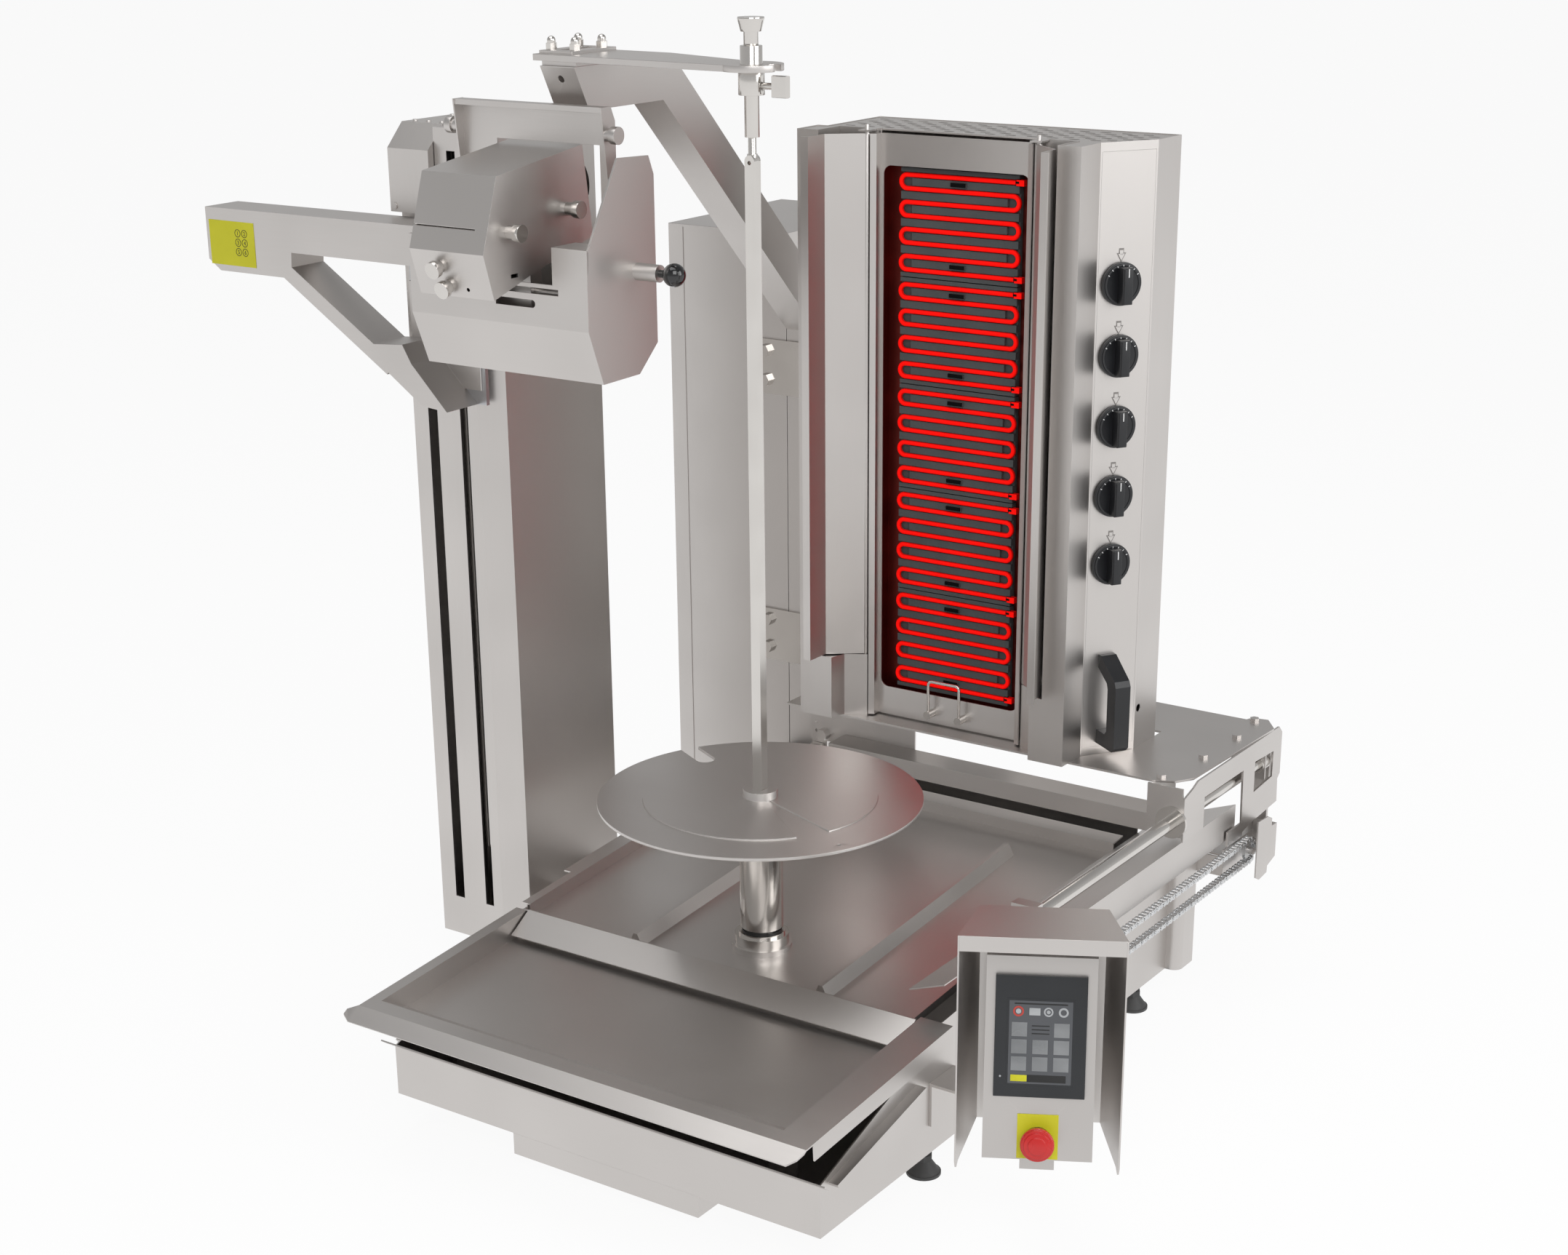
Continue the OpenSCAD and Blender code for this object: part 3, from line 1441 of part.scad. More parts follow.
module control_box() {
    color(steel) at_control_box() {
        difference() {
            box(-box_w / 2, box_w / 2, -25, 20, -box_h / 2 - 2, box_h / 2 - 2);
            box(-box_w / 2 + sheet, box_w / 2 - sheet, -25 + sheet, 20 - sheet, -box_h / 2, box_h / 2 - 4);
            box(-44, 44, -26, -20, -40, 90);
            translate([0, -20, -98]) rotate([90, 0, 0]) cylinder(h = 10, d = 22.4);
        }
        box(-20, 20, 10, 12, -box_h / 2 - 24, -box_h / 2 - 2);
    }
    // Stand-offs to the back plate of the hood
    color(steel) at_control() for (p = [[-40, 9], [60, 31]])
        box(-20, 20, p[1], hood_y1 - sheet, p[0], p[0] + 12);
}

module touch_screen() {
    color(black) at_control_box() {
        box(-52, 52, -31, -25, -46, 96);
        box(-43.5, 43.5, -25, -4, -39, 89);
    }
}

// Mushroom stop button with its stem
module stop_button() {
    color("red") at_control_box() translate([0, -25, -98]) rotate([90, 0, 0]) {
        translate([0, 0, 14]) cylinder(h = 8, d = stop_d);
        translate([0, 0, 22]) cylinder(h = 5, d1 = stop_d, d2 = stop_d - 14);
        translate([0, 0, -14]) cylinder(h = 29, d = 22.3);
    }
}

base_chassis();
drive_box();
adjustable_feet();
main_tray();
front_pan();
rail_skirt();
shaft_collar();
shaft_seal();
spit_gearmotor();
shaft_tube();
spit_disc();
spit_bar();
arm_tube();
top_arm_plate();
frame_clamps();
top_bearing();
lifting_pin();
wing_screw();
back_cabinet();
carriage_plate();
carriage_side_plate();
rod_bearings();
cross_beam();
left_runner();
guide_rods();
rod_brackets();
drive_chain();
drive_sprocket();
idler_sprocket();
drive_covers();
heater_housing();
perforated_top();
heater_front_panel();
reflector_box();
ceramic_plates();
heating_elements();
knob_panel();
knob_1();
knob_2();
knob_3();
knob_4();
knob_5();
bow_handle();
left_wing();
right_wing();
wire_bail();
robot_column();
lift_rails();
robot_carriage();
head_body();
blade_box();
thumb_knobs();
round_blade();
shield_plate();
spring_plunger();
left_arm();
control_hood();
control_box();
touch_screen();
stop_button();
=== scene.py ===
"""Looks of an electric doner grill: steel sheet, glowing heater, knobs, slicing head and control panel."""
import enum
import json
import logging
import math
from dataclasses import dataclass

import bpy
from mathutils import Matrix, Vector


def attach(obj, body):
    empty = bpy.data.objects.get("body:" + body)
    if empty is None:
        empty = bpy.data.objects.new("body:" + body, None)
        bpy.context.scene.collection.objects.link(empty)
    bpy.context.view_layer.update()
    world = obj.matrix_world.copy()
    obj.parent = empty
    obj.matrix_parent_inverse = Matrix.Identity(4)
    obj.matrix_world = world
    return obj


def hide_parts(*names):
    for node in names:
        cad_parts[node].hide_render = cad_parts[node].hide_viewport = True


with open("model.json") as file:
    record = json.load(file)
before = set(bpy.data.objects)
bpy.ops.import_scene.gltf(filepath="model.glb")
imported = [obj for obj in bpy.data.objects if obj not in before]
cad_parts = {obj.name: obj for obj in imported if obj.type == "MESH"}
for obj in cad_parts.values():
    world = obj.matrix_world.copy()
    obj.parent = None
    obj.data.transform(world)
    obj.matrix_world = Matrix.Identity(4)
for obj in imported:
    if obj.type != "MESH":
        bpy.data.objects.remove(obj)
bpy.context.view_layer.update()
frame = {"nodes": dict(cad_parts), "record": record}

MM = 0.001
MM_PER_METRE = 1000
# Range that the sum of two noises mostly keeps to
NOISE_SUM_LOW = 0.6
NOISE_SUM_HIGH = 1.4
# Heights of brushed grain and of moulded grit, in metres
GRAIN_HEIGHT = 0.0004
GRIT_HEIGHT = 0.0002
# Size of the clouds in a moulding's colour, and how far they move its roughness
CLOUD_MM = 40
CLOUD_SPREAD = 0.08
# Red-hot tube: Y of the normal at its side and at its front, and the share of the glow at its side, where the
# glow is dimmed as painted shade of the groove
TUBE_SIDE_Y = -0.35
TUBE_FRONT_Y = -0.92
TUBE_PAINTED_SHADE_GLOW = 0.12
# Radius of a barely broken edge, in metres
FINE_ROUND = 0.0002

Point = tuple[float, float, float]
log = logging.getLogger("grill")


def linear(hex_colour: str, alpha: float = 1.0) -> tuple[float, float, float, float]:
    """Turns an sRGB hex colour to linear light.

    Args:
        hex_colour: six hex digits, such as "C8C2BC".
        alpha: the fourth value.

    Returns:
        Red, green, blue and alpha for a shader socket.
    """
    # The two branches are the sRGB curve's own
    parts = [int(hex_colour[i:i + 2], 16) / 255 for i in (0, 2, 4)]
    red, green, blue = [c / 12.92 if c <= 0.04045 else ((c + 0.055) / 1.055) ** 2.4 for c in parts]
    return red, green, blue, alpha


def add_node(tree: bpy.types.NodeTree, kind: str, settings: dict | None = None,
             values: dict | None = None, links: dict | None = None) -> bpy.types.Node:
    """Adds a node with its settings, socket values and incoming links.

    Args:
        tree: the node tree that gets it.
        kind: the node's type name.
        settings: attributes of the node.
        values: values of input sockets.
        links: output sockets to link, by input socket.

    Returns:
        The new node.
    """
    node = tree.nodes.new(kind)
    for key, value in (settings or {}).items():
        setattr(node, key, value)
    for key, value in (values or {}).items():
        node.inputs[key].default_value = value
    for key, source in (links or {}).items():
        tree.links.new(source, node.inputs[key])
    return node


class Grain(enum.Enum):
    """Direction in which a steel sheet was brushed."""

    X = (0.02, 1.0, 1.0)
    Y = (1.0, 0.02, 1.0)
    Z = (1.0, 1.0, 0.02)
    NONE = (1.0, 1.0, 1.0)


@dataclass(frozen=True)
class Metal:
    """A bare metal: colour, gloss, and the grain that its last pass left."""

    name: str
    colour: str
    shade: str
    roughness: float
    grain: Grain = Grain.NONE
    grain_mm: float = 1.2
    patch_mm: float = 160.0
    patch_spread: float = 0.04
    bump: float = 0.03

    def build(self) -> bpy.types.Material:
        """Makes the material.

        Returns:
            A metal with grain lines in its roughness and bump, and faint handling patches.
        """
        mat = bpy.data.materials.new(self.name)
        mat.use_nodes = True
        tree = mat.node_tree
        shader = tree.nodes["Principled BSDF"]
        shader.inputs["Metallic"].default_value = 1.0
        coord = add_node(tree, "ShaderNodeTexCoord")
        place = add_node(tree, "ShaderNodeMapping", values={"Scale": self.grain.value},
                         links={"Vector": coord.outputs["Object"]})
        lines = add_node(tree, "ShaderNodeTexNoise",
                         values={"Scale": MM_PER_METRE / self.grain_mm, "Detail": 2.0},
                         links={"Vector": place.outputs["Vector"]})
        patches = add_node(tree, "ShaderNodeTexNoise",
                           values={"Scale": MM_PER_METRE / self.patch_mm, "Detail": 1.0},
                           links={"Vector": coord.outputs["Object"]})
        tone = add_node(tree, "ShaderNodeMix", {"data_type": "RGBA"},
                        {"A": linear(self.colour), "B": linear(self.shade)},
                        {"Factor": patches.outputs["Fac"]})
        tree.links.new(tone.outputs["Result"], shader.inputs["Base Color"])
        both = add_node(tree, "ShaderNodeMath", {"operation": "ADD"},
                        links={0: lines.outputs["Fac"], 1: patches.outputs["Fac"]})
        gloss = add_node(tree, "ShaderNodeMapRange",
                         values={"From Min": NOISE_SUM_LOW, "From Max": NOISE_SUM_HIGH,
                                 "To Min": self.roughness - self.patch_spread,
                                 "To Max": self.roughness + self.patch_spread},
                         links={"Value": both.outputs["Value"]})
        tree.links.new(gloss.outputs["Result"], shader.inputs["Roughness"])
        bump = add_node(tree, "ShaderNodeBump", values={"Strength": self.bump, "Distance": GRAIN_HEIGHT},
                        links={"Height": lines.outputs["Fac"]})
        tree.links.new(bump.outputs["Normal"], shader.inputs["Normal"])
        return mat


@dataclass(frozen=True)
class Moulded:
    """A moulded, fired or enamelled surface: colour, gloss and the grit that it shows."""

    name: str
    colour: str
    shade: str
    roughness: float
    grit_mm: float = 1.5
    bump: float = 0.1
    coat: float = 0.0
    ior: float = 1.5
    glow: str = ""
    glow_strength: float = 0.0
    # Dims the glow on a tube's top and bottom as painted shade of its groove
    glow_front: bool = False

    def build(self) -> bpy.types.Material:
        """Makes the material.

        Returns:
            A dielectric with a fine grit in colour, roughness and bump.
        """
        mat = bpy.data.materials.new(self.name)
        mat.use_nodes = True
        tree = mat.node_tree
        shader = tree.nodes["Principled BSDF"]
        shader.inputs["IOR"].default_value = self.ior
        shader.inputs["Coat Weight"].default_value = self.coat
        coord = add_node(tree, "ShaderNodeTexCoord")
        grit = add_node(tree, "ShaderNodeTexNoise",
                        values={"Scale": MM_PER_METRE / self.grit_mm, "Detail": 3.0},
                        links={"Vector": coord.outputs["Object"]})
        cloud = add_node(tree, "ShaderNodeTexNoise", values={"Scale": MM_PER_METRE / CLOUD_MM, "Detail": 3.0},
                         links={"Vector": coord.outputs["Object"]})
        tone = add_node(tree, "ShaderNodeMix", {"data_type": "RGBA"},
                        {"A": linear(self.colour), "B": linear(self.shade)}, {"Factor": cloud.outputs["Fac"]})
        tree.links.new(tone.outputs["Result"], shader.inputs["Base Color"])
        gloss = add_node(tree, "ShaderNodeMapRange",
                         values={"To Min": self.roughness - CLOUD_SPREAD,
                                 "To Max": self.roughness + CLOUD_SPREAD},
                         links={"Value": cloud.outputs["Fac"]})
        tree.links.new(gloss.outputs["Result"], shader.inputs["Roughness"])
        bump = add_node(tree, "ShaderNodeBump", values={"Strength": self.bump, "Distance": GRIT_HEIGHT},
                        links={"Height": grit.outputs["Fac"]})
        tree.links.new(bump.outputs["Normal"], shader.inputs["Normal"])
        if self.glow:
            shader.inputs["Emission Color"].default_value = linear(self.glow)
            shader.inputs["Emission Strength"].default_value = self.glow_strength
        if self.glow_front:
            # Painted shade: the glow is dimmed on the tube's top and bottom, where the ceramic groove shades
            # them; its front glows most
            side = add_node(tree, "ShaderNodeSeparateXYZ", links={0: coord.outputs["Normal"]})
            heat = add_node(tree, "ShaderNodeMapRange", {"interpolation_type": "SMOOTHSTEP"},
                            {"From Min": TUBE_SIDE_Y, "From Max": TUBE_FRONT_Y,
                             "To Min": TUBE_PAINTED_SHADE_GLOW * self.glow_strength, "To Max": self.glow_strength},
                            {"Value": side.outputs["Y"]})
            tree.links.new(heat.outputs["Result"], shader.inputs["Emission Strength"])
        return mat


# AISI 304 sheet: warm grey, with fine brushed lines that run across, in depth or upright
SHEET_X = Metal("stainless_sheet_brushed_across", "D2CECB", "C8C4C1", 0.38, Grain.X)
SHEET_Y = Metal("stainless_sheet_brushed_in_depth", "D2CECB", "C8C4C1", 0.38, Grain.Y)
SHEET_Z = Metal("stainless_sheet_brushed_upright", "D2CECB", "C8C4C1", 0.38, Grain.Z)
# The same sheet inside the heater, browned by heat
HOT_SHEET = Metal("stainless_sheet_heat_tinted", "8A3A34", "5A2420", 0.46, Grain.X, patch_mm=40)
# Turned and polished stainless bar: clear, faintly uneven reflections
TURNED = Metal("stainless_bar_turned", "DAD7D3", "CDC9C5", 0.15, Grain.NONE, 0.8, 60, 0.05, 0.02)
# Bright roller chain steel under a film of oil
CHAIN = Metal("chain_steel_oiled", "E2E2E2", "C4C6C8", 0.3, Grain.NONE, 2.0, 9, 0.08, 0.03)
# Milled aluminium block
MILLED = Metal("aluminium_milled", "C6C7C9", "B4B5B8", 0.32, Grain.X, 1.5)
# Grey glass-filled nylon foot: dull, slightly rough
NYLON = Moulded("nylon_foot_moulded", "4C4C4C", "3E3E3E", 0.55)
# Nitrile lip seal
NITRILE = Moulded("nitrile_seal", "101010", "181818", 0.45)
# Enamelled gear motor casting
ENAMEL = Moulded("motor_enamel", "3C4043", "33373A", 0.4, 2.5, 0.2, 0.2)
# Fired cordierite plate: matt dark grey, sandy
CORDIERITE = Moulded("cordierite_plate_fired", "5A5D5E", "4C4F50", 0.85, 1.2, 0.3, ior=1.3)
# Tubular element at red heat: the emission is what is seen, with painted shade dimming its top and bottom
RED_HEAT = Moulded("heating_element_red_hot", "E00C06", "C80A05", 0.75, 2.0, 0.1, ior=1.2, glow="FF0E08",
                   glow_strength=0.55, glow_front=True)
# Phenolic knob: black, slightly orange-peeled, soft sheen
PHENOLIC = Moulded("phenolic_knob_moulded", "16171A", "1E1F22", 0.38, 1.2, 0.12)
# Polished phenolic ball
BALL = Moulded("phenolic_ball_polished", "08090B", "0C0D10", 0.14, 3.0, 0.02, 0.6)
# ABS bezel of the screen
ABS_BLACK = Moulded("abs_bezel_moulded", "2B2D30", "232528", 0.42, 1.0, 0.15)
# Lacquered red stop mushroom
STOP_RED = Moulded("stop_button_red_moulded", "D01714", "B81210", 0.28, 2.0, 0.03, 0.4)
# Self-adhesive vinyl plate, yellow
VINYL_YELLOW = Moulded("vinyl_plate_yellow", "D3CF1F", "C6C21A", 0.45, 1.5, 0.03)
# Screen print in white ink
INK_WHITE = Moulded("screen_print_white", "E4E4E4", "D8D8D8", 0.6, 1.5, 0.02)
# Screen print in grey ink
INK_GREY = Moulded("screen_print_grey", "8A8683", "7C7875", 0.6, 1.5, 0.02)
# Screen print in black ink
INK_BLACK = Moulded("screen_print_black", "1C1C1C", "262626", 0.6, 1.5, 0.02)
# Black steatite: faces of the plates' clips and the sleeves on the element's cold ends
SLEEVE = Moulded("steatite_black", "060607", "0A0A0B", 0.7, 1.5, 0.05, ior=1.2)
# Lit liquid crystal display: its own light carries the grey
DISPLAY = Moulded("display_lit", "3A3C40", "34363A", 0.2, 3.0, 0.0, 0.5, glow="5A5C60", glow_strength=0.3)
# Keys and lamps of the display, lit from behind
TILE = Moulded("display_tile_lit", "8A8C8E", "5E6062", 0.25, 3.0, 0.0, 0.4, glow="A0A2A4", glow_strength=0.12)
KEY_LIGHT = Moulded("display_key_pale_lit", "A6A8AA", "8E9092", 0.25, 3.0, 0.0, 0.4, glow="C8CCD0",
                    glow_strength=0.15)
KEY_RED = Moulded("display_key_red_lit", "A8362C", "8A2A22", 0.25, 3.0, 0.0, 0.4, glow="B0382C",
                  glow_strength=0.3)

SLOT_FINISH = {
    "sheet": SHEET_Z, "inner_sheet": HOT_SHEET, "frame_tube": SHEET_Y, "turned": TURNED, "chain": CHAIN,
    "foot": NYLON, "seal": NITRILE, "motor": ENAMEL, "ceramic": CORDIERITE, "element": RED_HEAT,
    "knob": PHENOLIC, "ball_knob": BALL, "aluminium_block": MILLED, "screen": ABS_BLACK,
    "stop_button": STOP_RED,
}
# Nodes whose finish isn't their slot's: it says which way the sheet was brushed
NODE_FINISH = {
    "base_chassis": SHEET_X, "drive_box": SHEET_X, "main_tray": SHEET_Y, "front_pan": SHEET_X,
    "rail_skirt": SHEET_Y, "carriage_plate": SHEET_X, "carriage_side_plate": SHEET_Y, "cross_beam": SHEET_X,
    "left_arm": SHEET_X, "head_body": SHEET_X, "blade_box": SHEET_Y, "spit_disc": SHEET_X,
    "perforated_top": SHEET_X, "shield_plate": SHEET_X, "top_arm_plate": SHEET_X,
}


class Bench:
    """Modelling helpers on Blender's operators."""

    FACING_UP = 0.9
    SAME_HEIGHT = 1e-5
    SMOOTH_ANGLE = 40
    DRILL_REACH = 0.01

    @staticmethod
    def clear() -> None:
        """Deselects every object."""
        bpy.ops.object.select_all(action="DESELECT")

    @staticmethod
    def only(obj: bpy.types.Object) -> None:
        """Makes obj the one selected and active object.

        Args:
            obj: any object of the scene.
        """
        Bench.clear()
        obj.select_set(True)
        bpy.context.view_layer.objects.active = obj

    @staticmethod
    def disc(name: str, radius: float, depth: float, base: Point = (0, 0, 0),
             sides: int = 64) -> bpy.types.Object:
        """Adds an upright cylinder.

        Args:
            name: the object's name.
            radius: in metres.
            depth: in metres.
            base: centre of its lower face.
            sides: number of flats round it.

        Returns:
            The new object.
        """
        Bench.clear()
        bpy.ops.mesh.primitive_cylinder_add(vertices=sides, radius=radius, depth=depth,
                                            location=(base[0], base[1], base[2] + depth / 2))
        obj = bpy.context.object
        obj.name = name
        Bench.settle(obj)
        return obj

    @staticmethod
    def block(name: str, low: Point, high: Point) -> bpy.types.Object:
        """Adds a block between two corners.

        Args:
            name: the object's name.
            low: lowest corner.
            high: highest corner.

        Returns:
            The new object.
        """
        Bench.clear()
        centre = [(a + b) / 2 for a, b in zip(low, high)]
        bpy.ops.mesh.primitive_cube_add(size=1, location=centre)
        obj = bpy.context.object
        obj.name = name
        obj.scale = [b - a for a, b in zip(low, high)]
        Bench.settle(obj)
        return obj

    @staticmethod
    def settle(obj: bpy.types.Object) -> None:
        """Puts obj's place into its mesh.

        Args:
            obj: a piece on the bench.
        """
        Bench.only(obj)
        bpy.ops.object.transform_apply(location=True, rotation=True, scale=True)

    @staticmethod
    def place(obj: bpy.types.Object, matrix: Matrix) -> None:
        """Moves obj by matrix and puts that into its mesh.

        Args:
            obj: a finished piece.
            matrix: the move from the bench to the object's frame.
        """
        obj.matrix_world = matrix @ obj.matrix_world
        Bench.settle(obj)

    @staticmethod
    def raise_top(obj: bpy.types.Object, inset: float, rise: float) -> None:
        """Insets the highest faces of obj and raises them.

        Args:
            obj: a piece on the bench.
            inset: width left round the raised face.
            rise: how far the face moves up; negative sinks it.
        """
        Bench.only(obj)
        top = max(v.co.z for v in obj.data.vertices)
        bpy.ops.object.mode_set(mode="EDIT")
        bpy.ops.mesh.select_all(action="DESELECT")
        bpy.ops.object.mode_set(mode="OBJECT")
        for face in obj.data.polygons:
            face.select = face.normal.z > Bench.FACING_UP and abs(face.center.z - top) < Bench.SAME_HEIGHT
        bpy.ops.object.mode_set(mode="EDIT")
        bpy.ops.mesh.select_mode(type="FACE")
        if inset:
            bpy.ops.mesh.inset(thickness=inset)
        bpy.ops.mesh.extrude_region_move(TRANSFORM_OT_translate={"value": (0, 0, rise)})
        bpy.ops.object.mode_set(mode="OBJECT")

    @staticmethod
    def soften(obj: bpy.types.Object, width: float, segments: int = 3, angle: float = 35) -> None:
        """Rounds the sharp edges of obj.

        Args:
            obj: a piece on the bench.
            width: radius of the round.
            segments: faces across the round.
            angle: edges sharper than this are rounded, in degrees.
        """
        Bench.only(obj)
        bevel = obj.modifiers.new("round", "BEVEL")
        bevel.width = width
        bevel.segments = segments
        bevel.limit_method = "ANGLE"
        bevel.angle_limit = math.radians(angle)
        bpy.ops.object.modifier_apply(modifier=bevel.name)
        bpy.ops.object.shade_smooth_by_angle(angle=math.radians(Bench.SMOOTH_ANGLE))

    @staticmethod
    def carve(obj: bpy.types.Object, cutter: bpy.types.Object) -> None:
        """Cuts cutter out of obj and removes the cutter.

        Args:
            obj: a piece on the bench.
            cutter: a closed piece that reaches into it.
        """
        Bench.only(obj)
        cut = obj.modifiers.new("cut", "BOOLEAN")
        cut.operation = "DIFFERENCE"
        cut.object = cutter
        bpy.ops.object.modifier_apply(modifier=cut.name)
        bpy.data.objects.remove(cutter)

    @staticmethod
    def drill(obj: bpy.types.Object, radius: float, spot: Point, sides: int = 64) -> None:
        """Drills an upright hole right through a thin piece.

        Args:
            obj: a piece on the bench.
            radius: the hole's radius.
            spot: a point of the hole's axis, in or near the piece.
            sides: number of flats round the hole.
        """
        base = (spot[0], spot[1], spot[2] - Bench.DRILL_REACH)
        Bench.carve(obj, Bench.disc("hole", radius, 2 * Bench.DRILL_REACH, base, sides))

    @staticmethod
    def join(name: str, parts: list[bpy.types.Object]) -> bpy.types.Object:
        """Joins parts to one object.

        Args:
            name: the joined object's name.
            parts: the pieces, the first of which stays.

        Returns:
            The joined object.
        """
        Bench.only(parts[0])
        for part in parts[1:]:
            part.select_set(True)
        if len(parts) > 1:
            bpy.ops.object.join()
        parts[0].name = name
        return parts[0]


class Finishes:
    """Builds each finish once and paints pieces with it."""

    def __init__(self) -> None:
        """Starts with nothing built."""
        self.built: dict[str, bpy.types.Material] = {}

    def get(self, finish: Metal | Moulded) -> bpy.types.Material:
        """Looks up the material of a finish, and builds it on first use.

        Args:
            finish: the finish that is wanted.

        Returns:
            Its material.
        """
        if finish.name not in self.built:
            self.built[finish.name] = finish.build()
        return self.built[finish.name]

    def paint(self, obj: bpy.types.Object, finish: Metal | Moulded) -> None:
        """Gives all of obj one finish.

        Args:
            obj: a piece on the bench.
            finish: the finish of all its faces.
        """
        obj.data.materials.clear()
        obj.data.materials.append(self.get(finish))


@dataclass
class Assembly:
    """A sub-assembly that is built on the bench, painted and hung on a body."""

    finishes: Finishes

    def hand_over(self, obj: bpy.types.Object, body: str, slot: str, finish: Metal | Moulded | None = None,
                  stands_for: tuple[str, ...] = ()) -> bpy.types.Object:
        """Paints a piece and lets it ride on a body.

        Args:
            obj: the finished piece.
            body: name of the body that carries it.
            slot: material slot of the record; not used.
            finish: its finish, unless it is painted already.
            stands_for: nodes that it replaces.

        Returns:
            The piece.
        """
        if finish:
            self.finishes.paint(obj, finish)
        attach(obj, body)
        if stands_for:
            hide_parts(*stands_for)
        log.info("piece %s rides on %s", obj.name, body)
        return obj


@dataclass
class SteelWork(Assembly):
    """The carried-over nodes: each gets its finish, and folded sheet a small edge radius."""

    edge_mm: float = 0.5
    edge_angle: float = 35
    weld_m: float = 1e-6
    soft_edges: tuple[str, ...] = (
        "base_chassis", "drive_box", "front_pan", "arm_tube", "back_cabinet", "robot_column", "left_arm",
        "blade_box", "bow_handle", "top_arm_plate", "head_body", "shield_plate", "heater_housing",
        "control_box", "control_hood", "spit_bar", "cross_beam", "rail_skirt", "lifting_pin", "thumb_knobs",
        "top_bearing", "wing_screw", "spit_disc", "touch_screen", "adjustable_feet", "left_wing",
        "right_wing")

    def dress(self) -> None:
        """Gives every node its finish."""
        slots = {row["node"]: row["material_slot"] for row in frame["record"]["subparts"]}
        for name, obj in frame["nodes"].items():
            finish = NODE_FINISH.get(name, SLOT_FINISH[slots[name]])
            material = self.finishes.get(finish)
            if not obj.material_slots:
                obj.data.materials.append(material)
            for slot in obj.material_slots:
                slot.material = material
            if name in self.soft_edges:
                self.round_edges(obj)
            log.info("node %s gets %s", name, finish.name)

    def round_edges(self, obj: bpy.types.Object) -> None:
        """Adds a live weld and bevel to a node.

        Args:
            obj: the carried-over node.
        """
        weld = obj.modifiers.new("weld", "WELD")
        weld.merge_threshold = self.weld_m
        bevel = obj.modifiers.new("edge", "BEVEL")
        bevel.width = self.edge_mm * MM
        bevel.segments = 2
        bevel.limit_method = "ANGLE"
        bevel.angle_limit = math.radians(self.edge_angle)
        bevel.harden_normals = False


